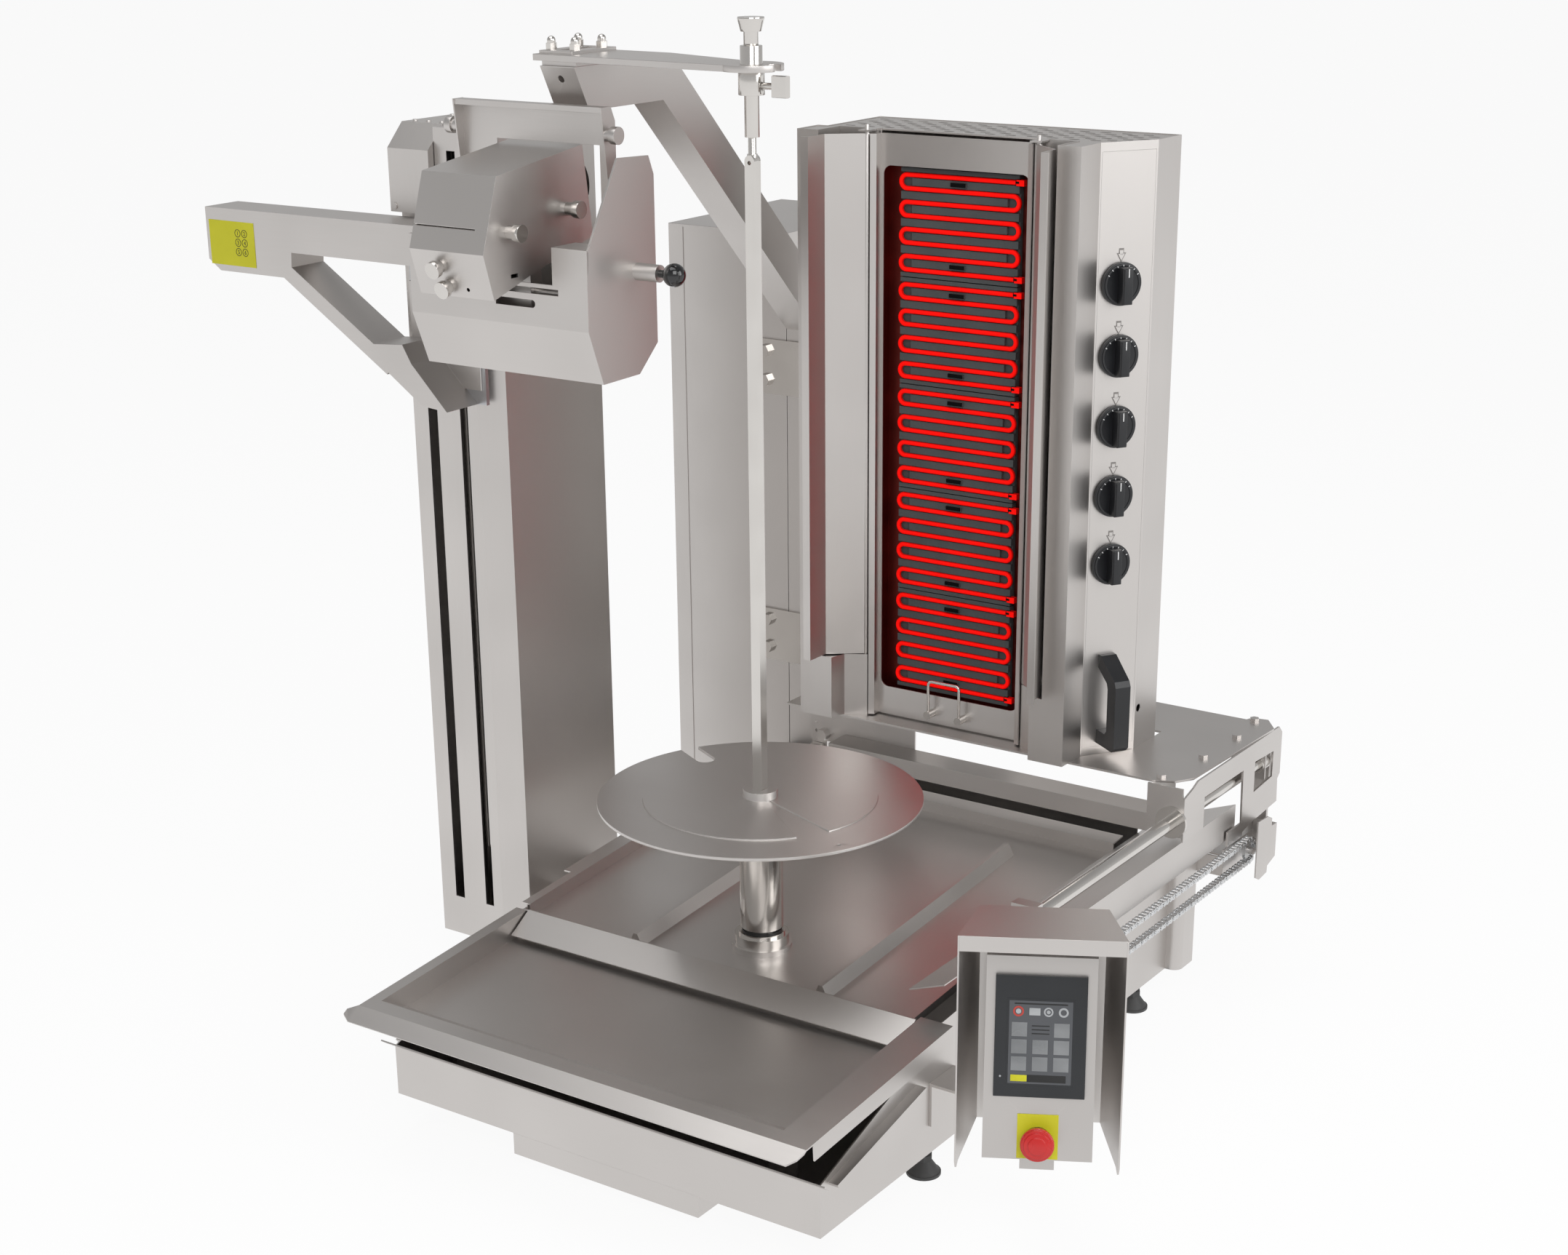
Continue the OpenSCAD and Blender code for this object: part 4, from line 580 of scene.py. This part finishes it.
@dataclass
class HeatKnobs(Assembly):
    """Five round knobs with a grip bar, and the arrows above them, on the heater's slanted panel.

    Each knob stands on the bench with its face up: Z is the height over the panel, Y is up the panel.
    """

    corner: tuple[float, float] = (0.222, 0.475)
    end: tuple[float, float] = (0.270, 0.546)
    along: float = 0.036
    lowest: float = 0.658
    pitch: float = 0.0965
    count: int = 5
    radius: float = 0.029
    skirt_base: float = 0.001
    skirt_height: float = 0.0048
    skirt_step: float = 0.0022
    dish_rim: float = 0.0035
    dish_depth: float = 0.0012
    skirt_round: float = 0.0007
    grip_low: Point = (-0.0075, -0.0255, 0.005)
    grip_high: Point = (0.0075, 0.0235, 0.0215)
    crown_inset: float = 0.0012
    crown_rise: float = 0.0022
    grip_round: float = 0.0014
    bore: float = 0.0032
    bore_depth: float = 0.0168
    pointer_low: Point = (-0.0007, 0.011, 0.0235)
    pointer_high: Point = (0.0007, 0.0225, 0.0240)
    mark_low: Point = (-0.0005, 0.0238, 0.0078)
    mark_high: Point = (0.0005, 0.0262, 0.0081)
    mark_count: int = 7
    first_mark: int = -60
    mark_step: int = 20
    arrow_at: float = 0.0365
    arrow_edge: tuple[float, float] = (0.0082, 0.0004)
    arrow_core: tuple[float, float] = (0.0058, 0.0007)
    stem_half: float = 0.45
    stem_low: float = 0.3
    stem_top: float = 0.0385
    stem_round: float = 0.0001

    def panel(self) -> Matrix:
        """Places the panel.

        Returns:
            The panel's frame: X along it, Y into it, Z up.
        """
        angle = math.atan2(self.end[1] - self.corner[1], self.end[0] - self.corner[0])
        return Matrix.Translation((*self.corner, 0)) @ Matrix.Rotation(angle, 4, "Z")

    def knob(self, number: int) -> bpy.types.Object:
        """Models one knob, standing on the bench with its face up.

        Args:
            number: counted from the top.

        Returns:
            The knob.
        """
        skirt = Bench.disc(f"heat_knob_skirt_{number}", self.radius, self.skirt_height,
                           (0, 0, self.skirt_base))
        Bench.raise_top(skirt, self.skirt_step, self.skirt_step)
        Bench.raise_top(skirt, self.dish_rim, -self.dish_depth)
        Bench.soften(skirt, self.skirt_round, 2, 30)
        grip = Bench.block("grip", self.grip_low, self.grip_high)
        Bench.raise_top(grip, self.crown_inset, self.crown_rise)
        Bench.soften(grip, self.grip_round, 3)
        # Bore for the switch's shaft, as in the solid
        for part in (skirt, grip):
            Bench.carve(part, Bench.disc("bore", self.bore, self.bore_depth, (0, 0, 0), 32))
        self.finishes.paint(skirt, PHENOLIC)
        self.finishes.paint(grip, PHENOLIC)
        pointer = Bench.block("pointer", self.pointer_low, self.pointer_high)
        Bench.soften(pointer, FINE_ROUND, 1)
        self.finishes.paint(pointer, INK_WHITE)
        marks = []
        for step in range(self.mark_count):
            turn = math.radians(self.first_mark + self.mark_step * step)
            mark = Bench.block("mark", self.mark_low, self.mark_high)
            Bench.place(mark, Matrix.Rotation(-turn, 4, "Z"))
            self.finishes.paint(mark, INK_WHITE)
            marks.append(mark)
        return Bench.join(f"heat_knob_{number}", [skirt, grip, pointer] + marks)

    def arrow_shape(self, size: float, thick: float) -> bpy.types.Object:
        """Models a block arrow that points down, on the bench.

        Args:
            size: radius of its three-cornered head; the stem is a share of it.
            thick: its height above the panel.

        Returns:
            The arrow.
        """
        Bench.clear()
        bpy.ops.mesh.primitive_cylinder_add(vertices=3, radius=size, depth=thick,
                                            location=(0, self.arrow_at, thick / 2),
                                            rotation=(0, 0, math.pi))
        head = bpy.context.object
        Bench.settle(head)
        half = self.stem_half * size
        stem = Bench.block("stem", (-half, self.arrow_at + self.stem_low * size, 0),
                           (half, self.stem_top + size, thick))
        Bench.soften(stem, self.stem_round, 1)
        return Bench.join("arrow", [head, stem])

    def arrow(self, number: int) -> bpy.types.Object:
        """Models the outlined arrow above a knob.

        Args:
            number: counted from the top.

        Returns:
            A dark arrow with a smaller steel arrow on it.
        """
        edge = self.arrow_shape(*self.arrow_edge)
        self.finishes.paint(edge, INK_GREY)
        core = self.arrow_shape(*self.arrow_core)
        self.finishes.paint(core, SHEET_Z)
        return Bench.join(f"panel_arrow_{number}", [edge, core])

    def build(self) -> None:
        """Builds the knobs and the arrows, and sets them on the panel."""
        face = Matrix.Rotation(math.radians(90), 4, "X")
        for number in range(1, self.count + 1):
            height = self.lowest + (self.count - number) * self.pitch
            spot = self.panel() @ Matrix.Translation((self.along, 0, height)) @ face
            knob = self.knob(number)
            Bench.place(knob, spot)
            self.hand_over(knob, f"knob_{number}", "knob", stands_for=(f"knob_{number}",))
            arrow = self.arrow(number)
            Bench.place(arrow, spot)
            self.hand_over(arrow, "heater", "sheet")


@dataclass
class HeaterClips(Assembly):
    """Black clip faces on the ceramic plates, and black sleeves on the elements' ends."""

    lowest: float = 0.4245
    zone: float = 0.1508
    pitch: float = 0.01857
    plates: int = 5
    front: float = 0.487
    clip_runs: tuple[float, ...] = (1.06, 7.06)
    clip_half_width: float = 0.0118
    clip_half_height: float = 0.0028
    clip_sunk: float = 0.0010
    clip_proud: float = 0.0004
    clip_round: float = 0.0004
    tube: float = 0.492
    sleeve_runs: tuple[float, ...] = (0.56, 7.56)
    sleeve_at: float = 0.0885
    sleeve_radius: float = 0.0043
    sleeve_length: float = 0.006
    sleeve_round: float = 0.0005

    def heights(self, runs: tuple[float, ...]) -> list[float]:
        """Lists where something sits on every plate, from the lowest up.

        Args:
            runs: its places on a plate, counted in runs of the element.

        Returns:
            Heights over the floor.
        """
        return [self.lowest + plate * self.zone + self.pitch * run for plate in range(self.plates)
                for run in runs]

    def build(self) -> None:
        """Builds two clip faces and two sleeves a plate, each kind joined to one piece."""
        faces = []
        for middle in self.heights(self.clip_runs):
            low = (-self.clip_half_width, self.front - self.clip_sunk, middle - self.clip_half_height)
            high = (self.clip_half_width, self.front + self.clip_proud, middle + self.clip_half_height)
            face = Bench.block("face", low, high)
            Bench.soften(face, self.clip_round, 2)
            faces.append(face)
        self.hand_over(Bench.join("ceramic_clip_faces", faces), "heater", "ceramic", SLEEVE)
        lying = Matrix.Rotation(math.radians(90), 4, "Y")
        sleeves = []
        for middle in self.heights(self.sleeve_runs):
            sleeve = Bench.disc("sleeve", self.sleeve_radius, self.sleeve_length, sides=32)
            Bench.soften(sleeve, self.sleeve_round, 2)
            Bench.place(sleeve, Matrix.Translation((self.sleeve_at, self.tube, middle)) @ lying)
            sleeves.append(sleeve)
        self.hand_over(Bench.join("element_end_sleeves", sleeves), "heater", "ceramic", SLEEVE)


@dataclass(frozen=True)
class RoundKey:
    """A round mark on the display: its place across the face, its radius and the bore of a ring."""

    x: float
    radius: float
    bore: float = 0.0


@dataclass
class ControlStation(Assembly):
    """Screen, yellow plate and stop button of the control panel.

    Pieces are modelled lying: X across the face, Y up the face, Z out of it.
    """

    centre: Point = (0.548, -0.228, 0.297)
    turn: float = 28.0
    tilt: float = 12.0
    face_out: float = 0.025
    glass_base: float = 0.0058
    glass_top: float = 0.0066
    glass_low: tuple[float, float] = (-0.036, -0.030)
    glass_high: tuple[float, float] = (0.036, 0.067)
    rim_low: tuple[float, float] = (-0.0385, -0.0325)
    rim_high: tuple[float, float] = (0.0385, 0.0695)
    key_proud: float = 0.0004
    key_round: float = 0.00025
    mark_round: float = 0.00012
    column: float = 0.024
    rows: Point = (0.0335, 0.0135, -0.0065)
    key_size: tuple[float, float] = (0.0175, 0.0165)
    line_pitch: float = 0.0045
    line_size: tuple[float, float] = (0.020, 0.0012)
    head_line: tuple[float, ...] = (0.0, 0.0635, 0.060, 0.0016)
    foot_bar: tuple[float, ...] = (0.008, -0.0235, 0.044, 0.0085)
    foot_tab: tuple[float, ...] = (-0.0235, -0.0235, 0.0185, 0.0075)
    top_row: float = 0.0545
    ring_key: RoundKey = RoundKey(0.0255, 0.0056, 0.0034)
    eye_ring: RoundKey = RoundKey(0.0085, 0.0054, 0.0036)
    eye_dot: RoundKey = RoundKey(0.0085, 0.0022)
    wide_key: Point = (-0.007, 0.0125, 0.0085)
    stop_dot: RoundKey = RoundKey(-0.0255, 0.0030)
    stop_ring: RoundKey = RoundKey(-0.0255, 0.0062, 0.0040)
    lamp: RoundKey = RoundKey(-0.0445, 0.0012)
    lamp_height: float = -0.022
    stop_height: float = -0.098
    plate_half_width: float = 0.0235
    plate_below: float = 0.0215
    plate_above: float = 0.031
    plate_thick: float = 0.0009
    plate_bore: float = 0.0125
    collar_radius: float = 0.0165
    collar_height: float = 0.0065
    collar_bore: float = 0.0118
    collar_round: float = 0.0008
    cap_radius: float = 0.0195
    cap_base: float = 0.0145
    cap_edge: float = 0.0055
    dome: tuple[tuple[float, float], ...] = ((0.0012, 0.0030), (0.0030, 0.0022), (0.0050, 0.0012))
    cap_round: float = 0.0010
    stem_radius: float = 0.0111
    stem_base: float = -0.0137
    stem_length: float = 0.0282
    stem_round: float = 0.0004

    def front(self) -> Matrix:
        """Places the box's face.

        Returns:
            The face's frame: X across, Y up the face, Z out of it.
        """
        return (Matrix.Translation(self.centre) @ Matrix.Rotation(math.radians(self.turn), 4, "Z")
                @ Matrix.Rotation(math.radians(-self.tilt), 4, "X")
                @ Matrix.Translation((0, -self.face_out, 0)) @ Matrix.Rotation(math.radians(90), 4, "X"))

    def tile(self, x: float, y: float, wide: float, tall: float) -> bpy.types.Object:
        """Adds a raised blank key on the display.

        Args:
            x: centre across the face.
            y: centre up the face.
            wide: its width.
            tall: its height.

        Returns:
            The key.
        """
        key = Bench.block("key", (x - wide / 2, y - tall / 2, self.glass_top),
                          (x + wide / 2, y + tall / 2, self.glass_top + self.key_proud))
        Bench.soften(key, self.key_round, 2)
        return key

    def dot(self, mark: RoundKey, y: float) -> bpy.types.Object:
        """Adds a raised round key on the display.

        Args:
            mark: its place across the face, radius and bore.
            y: centre up the face.

        Returns:
            The key.
        """
        key = Bench.disc("key", mark.radius, self.key_proud, (mark.x, y, self.glass_top), 32)
        if mark.bore:
            Bench.drill(key, mark.bore, (mark.x, y, self.glass_top), 32)
        Bench.soften(key, self.mark_round, 1)
        return key

    def show(self, name: str, parts: list[bpy.types.Object], finish: Metal | Moulded) -> None:
        """Joins pieces of the display and sets them on the face.

        Args:
            name: the joined piece's name.
            parts: pieces on the bench.
            finish: their finish.
        """
        piece = Bench.join(name, parts)
        Bench.place(piece, self.front())
        self.hand_over(piece, "frame", "screen", finish)

    def screen(self) -> None:
        """Builds the display, with blank keys in rows, on the glass of the bezel."""
        glass = Bench.block("glass", (*self.glass_low, self.glass_base), (*self.glass_high, self.glass_top))
        Bench.soften(glass, FINE_ROUND, 1)
        rim = Bench.block("rim", (*self.rim_low, self.glass_base),
                          (*self.rim_high, self.glass_top - self.key_proud))
        Bench.soften(rim, FINE_ROUND, 1)
        self.show("touch_display", [glass], DISPLAY)
        self.show("display_rim", [rim], ABS_BLACK)
        # The middle of the first row holds lines of print
        pair = (-self.column, self.column)
        full = (-self.column, 0.0, self.column)
        keys = [self.tile(x, y, *self.key_size) for y, row in zip(self.rows, (pair, full, full)) for x in row]
        self.show("display_keys", keys, TILE)
        lines = [self.tile(0.0, self.rows[0] + step * self.line_pitch, *self.line_size)
                 for step in (-1, 0, 1)]
        lines.append(self.tile(*self.head_line))
        lines.append(self.tile(*self.foot_bar))
        self.show("display_lines", lines, INK_BLACK)
        top_keys = [self.dot(mark, self.top_row) for mark in (self.ring_key, self.eye_ring, self.eye_dot)]
        x, wide, tall = self.wide_key
        top_keys.append(self.tile(x, self.top_row, wide, tall))
        top_keys.append(self.dot(self.stop_dot, self.top_row))
        self.show("display_round_keys", top_keys, KEY_LIGHT)
        self.show("display_stop_key", [self.dot(self.stop_ring, self.top_row)], KEY_RED)
        self.show("display_tab", [self.tile(*self.foot_tab)], VINYL_YELLOW)
        self.show("power_lamp", [self.dot(self.lamp, self.lamp_height)], KEY_LIGHT)

    def stop(self) -> None:
        """Builds the mushroom button over a yellow plate, with its fixed collar."""
        plate = Bench.block("stop_plate", (-self.plate_half_width, self.stop_height - self.plate_below, 0),
                            (self.plate_half_width, self.stop_height + self.plate_above, self.plate_thick))
        Bench.drill(plate, self.plate_bore, (0, self.stop_height, 0))
        Bench.soften(plate, FINE_ROUND, 1)
        Bench.place(plate, self.front())
        self.hand_over(plate, "frame", "screen", VINYL_YELLOW)
        collar = Bench.disc("stop_collar", self.collar_radius, self.collar_height,
                            (0, self.stop_height, self.plate_thick))
        Bench.drill(collar, self.collar_bore, (0, self.stop_height, 0))
        Bench.soften(collar, self.collar_round, 2)
        Bench.place(collar, self.front())
        self.hand_over(collar, "frame", "screen", ABS_BLACK)
        cap = Bench.disc("stop_mushroom", self.cap_radius, self.cap_edge,
                         (0, self.stop_height, self.cap_base), 96)
        for inset, rise in self.dome:
            Bench.raise_top(cap, inset, rise)
        Bench.soften(cap, self.cap_round, 3, 12)
        stem = Bench.disc("stem", self.stem_radius, self.stem_length, (0, self.stop_height, self.stem_base))
        Bench.soften(stem, self.stem_round, 1)
        cap = Bench.join("stop_mushroom", [cap, stem])
        Bench.place(cap, self.front())
        self.hand_over(cap, "stop_button", "stop_button", STOP_RED, ("stop_button",))

    def build(self) -> None:
        """Builds the screen and the stop button."""
        self.screen()
        self.stop()


@dataclass
class Plates(Assembly):
    """Yellow plate with six numbered rings on the left arm."""

    corner: Point = (-0.930, -0.015, 1.046)
    width: float = 0.088
    height: float = 0.062
    thick: float = 0.0006
    ring_count: int = 6
    first_ring: tuple[float, float] = (0.056, 0.046)
    ring_pitch: float = 0.013
    ring_radius: float = 0.0055
    ring_bore: float = 0.0048
    ring_thick: float = 0.0003
    figure_size: float = 0.008
    figure_half: tuple[float, float] = (0.002, 0.0028)
    figure_half_thick: float = 0.00015

    def figure(self, number: int, x: float, y: float) -> bpy.types.Object:
        """Models a plain figure, lying on the plate.

        Args:
            number: the figure.
            x: its centre across the plate.
            y: its centre up the plate.

        Returns:
            The figure as a mesh.
        """
        Bench.clear()
        bpy.ops.object.text_add(location=(x - self.figure_half[0], y - self.figure_half[1], self.thick))
        text = bpy.context.object
        text.data.body = str(number)
        text.data.size = self.figure_size
        text.data.extrude = self.figure_half_thick
        Bench.only(text)
        bpy.ops.object.convert(target="MESH")
        Bench.settle(bpy.context.object)
        return bpy.context.object

    def build(self) -> None:
        """Builds the plate and its six numbered rings."""
        base = Matrix.Translation(self.corner) @ Matrix.Rotation(math.radians(90), 4, "X")
        plate = Bench.block("arm_plate", (0, 0, 0), (self.width, self.height, self.thick))
        Bench.soften(plate, FINE_ROUND, 1)
        Bench.place(plate, base)
        self.hand_over(plate, "head", "sheet", VINYL_YELLOW)
        parts = []
        for index in range(self.ring_count):
            x = self.first_ring[0] + self.ring_pitch * (index % 2)
            y = self.first_ring[1] - self.ring_pitch * (index // 2)
            ring = Bench.disc("ring", self.ring_radius, self.ring_thick, (x, y, self.thick), 32)
            Bench.drill(ring, self.ring_bore, (x, y, self.thick), 32)
            parts += [ring, self.figure(index + 1, x, y)]
        key = Bench.join("arm_plate_numbers", parts)
        Bench.place(key, base)
        self.hand_over(key, "head", "sheet", INK_BLACK)


@dataclass(frozen=True)
class SoftBox:
    """A square area lamp: its name, place, side in metres and power in watts."""

    name: str
    spot: Point
    size: float
    power: float


@dataclass
class Studio:
    """Camera, floor and soft light."""

    eye: Point = (1.7855, -2.5439, 1.6119)
    azimuth: float = 34.75
    elevation: float = 20.45
    roll: float = 0.6
    focal_px: float = 3475.0
    centre_px: tuple[float, float] = (-15.0, 203.0)
    image_px: tuple[int, int] = (2156, 1725)
    sensor_mm: float = 36
    far: float = 200
    floor_size: float = 160
    white_share: float = 0.92
    horizon: float = 0.62
    overhead: float = 0.34
    overhead_from: float = 0.7
    aim: Point = (0, 0, 0.6)
    soft_boxes: tuple[SoftBox, ...] = (
        SoftBox("key", (2.6, -3.0, 3.8), 2.8, 80), SoftBox("top", (-0.6, -0.4, 4.6), 3.2, 60),
        SoftBox("right", (4.2, 0.4, 2.6), 2.8, 75))

    def camera(self) -> None:
        """Sets the camera at the photograph's viewing angle."""
        az, el, roll = (math.radians(v) for v in (self.azimuth, self.elevation, self.roll))
        ahead = Vector((-math.sin(az) * math.cos(el), math.cos(az) * math.cos(el), -math.sin(el)))
        level = Vector((math.cos(az), math.sin(az), 0))
        down = ahead.cross(level)
        right = level * math.cos(roll) + down * math.sin(roll)
        up = -(down * math.cos(roll) - level * math.sin(roll))
        data = bpy.data.cameras.new("camera")
        data.sensor_width = self.sensor_mm
        data.lens = self.focal_px / self.image_px[0] * self.sensor_mm
        data.shift_x = -self.centre_px[0] / self.image_px[0]
        data.shift_y = self.centre_px[1] / self.image_px[0]
        data.clip_end = self.far
        cam = bpy.data.objects.new("camera", data)
        turn = Matrix((right, up, -ahead)).transposed().to_4x4()
        cam.matrix_world = Matrix.Translation(self.eye) @ turn
        bpy.context.collection.objects.link(cam)
        bpy.context.scene.camera = cam

    def floor(self) -> None:
        """Adds the pale floor."""
        Bench.clear()
        bpy.ops.mesh.primitive_plane_add(size=self.floor_size, location=(0, 0, 0))
        floor = bpy.context.object
        floor.name = "studio_floor"
        mat = bpy.data.materials.new("studio_floor_paint")
        mat.use_nodes = True
        tree = mat.node_tree
        shader = tree.nodes["Principled BSDF"]
        shader.inputs["Base Color"].default_value = linear("F4F4F4")
        shader.inputs["Roughness"].default_value = 0.9
        shader.inputs["Specular IOR Level"].default_value = 0.0
        # White backdrop for the camera and for reflections, with part of the real shadow kept
        path = add_node(tree, "ShaderNodeLightPath")
        seen = add_node(tree, "ShaderNodeMath", {"operation": "ADD"},
                        links={0: path.outputs["Is Camera Ray"], 1: path.outputs["Is Glossy Ray"]})
        both = add_node(tree, "ShaderNodeMath", {"operation": "ADD", "use_clamp": True},
                        links={0: seen.outputs["Value"], 1: path.outputs["Is Transmission Ray"]})
        share = add_node(tree, "ShaderNodeMath", {"operation": "MULTIPLY"}, {1: self.white_share},
                         {0: both.outputs["Value"]})
        white = add_node(tree, "ShaderNodeEmission", values={"Color": linear("FFFFFF"), "Strength": 1.0})
        mix = add_node(tree, "ShaderNodeMixShader",
                       links={0: share.outputs["Value"], 1: shader.outputs["BSDF"],
                              2: white.outputs["Emission"]})
        tree.links.new(mix.outputs["Shader"], tree.nodes["Material Output"].inputs["Surface"])
        floor.data.materials.append(mat)

    def world(self) -> None:
        """Sets a soft world: brighter at the horizon, darker overhead."""
        world = bpy.data.worlds.new("studio")
        bpy.context.scene.world = world
        world.use_nodes = True
        tree = world.node_tree
        background = tree.nodes["Background"]
        coord = add_node(tree, "ShaderNodeTexCoord")
        parts = add_node(tree, "ShaderNodeSeparateXYZ", links={0: coord.outputs["Generated"]})
        ramp = add_node(tree, "ShaderNodeMapRange",
                        values={"From Min": 0.0, "From Max": self.overhead_from, "To Min": self.horizon,
                                "To Max": self.overhead},
                        links={"Value": parts.outputs["Z"]})
        # What the camera sees straight is white; the object is lit and mirrored by the soft sky
        path = add_node(tree, "ShaderNodeLightPath")
        sky = add_node(tree, "ShaderNodeMix", {"data_type": "FLOAT"}, {"B": 1.0},
                       {"Factor": path.outputs["Is Camera Ray"], "A": ramp.outputs["Result"]})
        tree.links.new(sky.outputs["Result"], background.inputs["Color"])
        background.inputs["Strength"].default_value = 1.0

    def lamps(self) -> None:
        """Adds the soft boxes, aimed at the product."""
        for box in self.soft_boxes:
            data = bpy.data.lights.new(box.name, "AREA")
            data.size = box.size
            data.energy = box.power
            lamp = bpy.data.objects.new(box.name, data)
            lamp.location = box.spot
            lamp.rotation_euler = (Vector(self.aim) - Vector(box.spot)).to_track_quat("-Z", "Y").to_euler()
            bpy.context.collection.objects.link(lamp)

    def build(self) -> None:
        """Builds the studio."""
        self.camera()
        self.floor()
        self.world()
        self.lamps()
        bpy.context.scene.view_settings.view_transform = "Standard"


def main() -> None:
    """Builds the studio and the assemblies, in order."""
    logging.basicConfig(level=logging.INFO, format="%(name)s: %(message)s")
    finishes = Finishes()
    Studio().build()
    SteelWork(finishes).dress()
    HeatKnobs(finishes).build()
    HeaterClips(finishes).build()
    ControlStation(finishes).build()
    Plates(finishes).build()


if __name__ == "__main__":
    main()
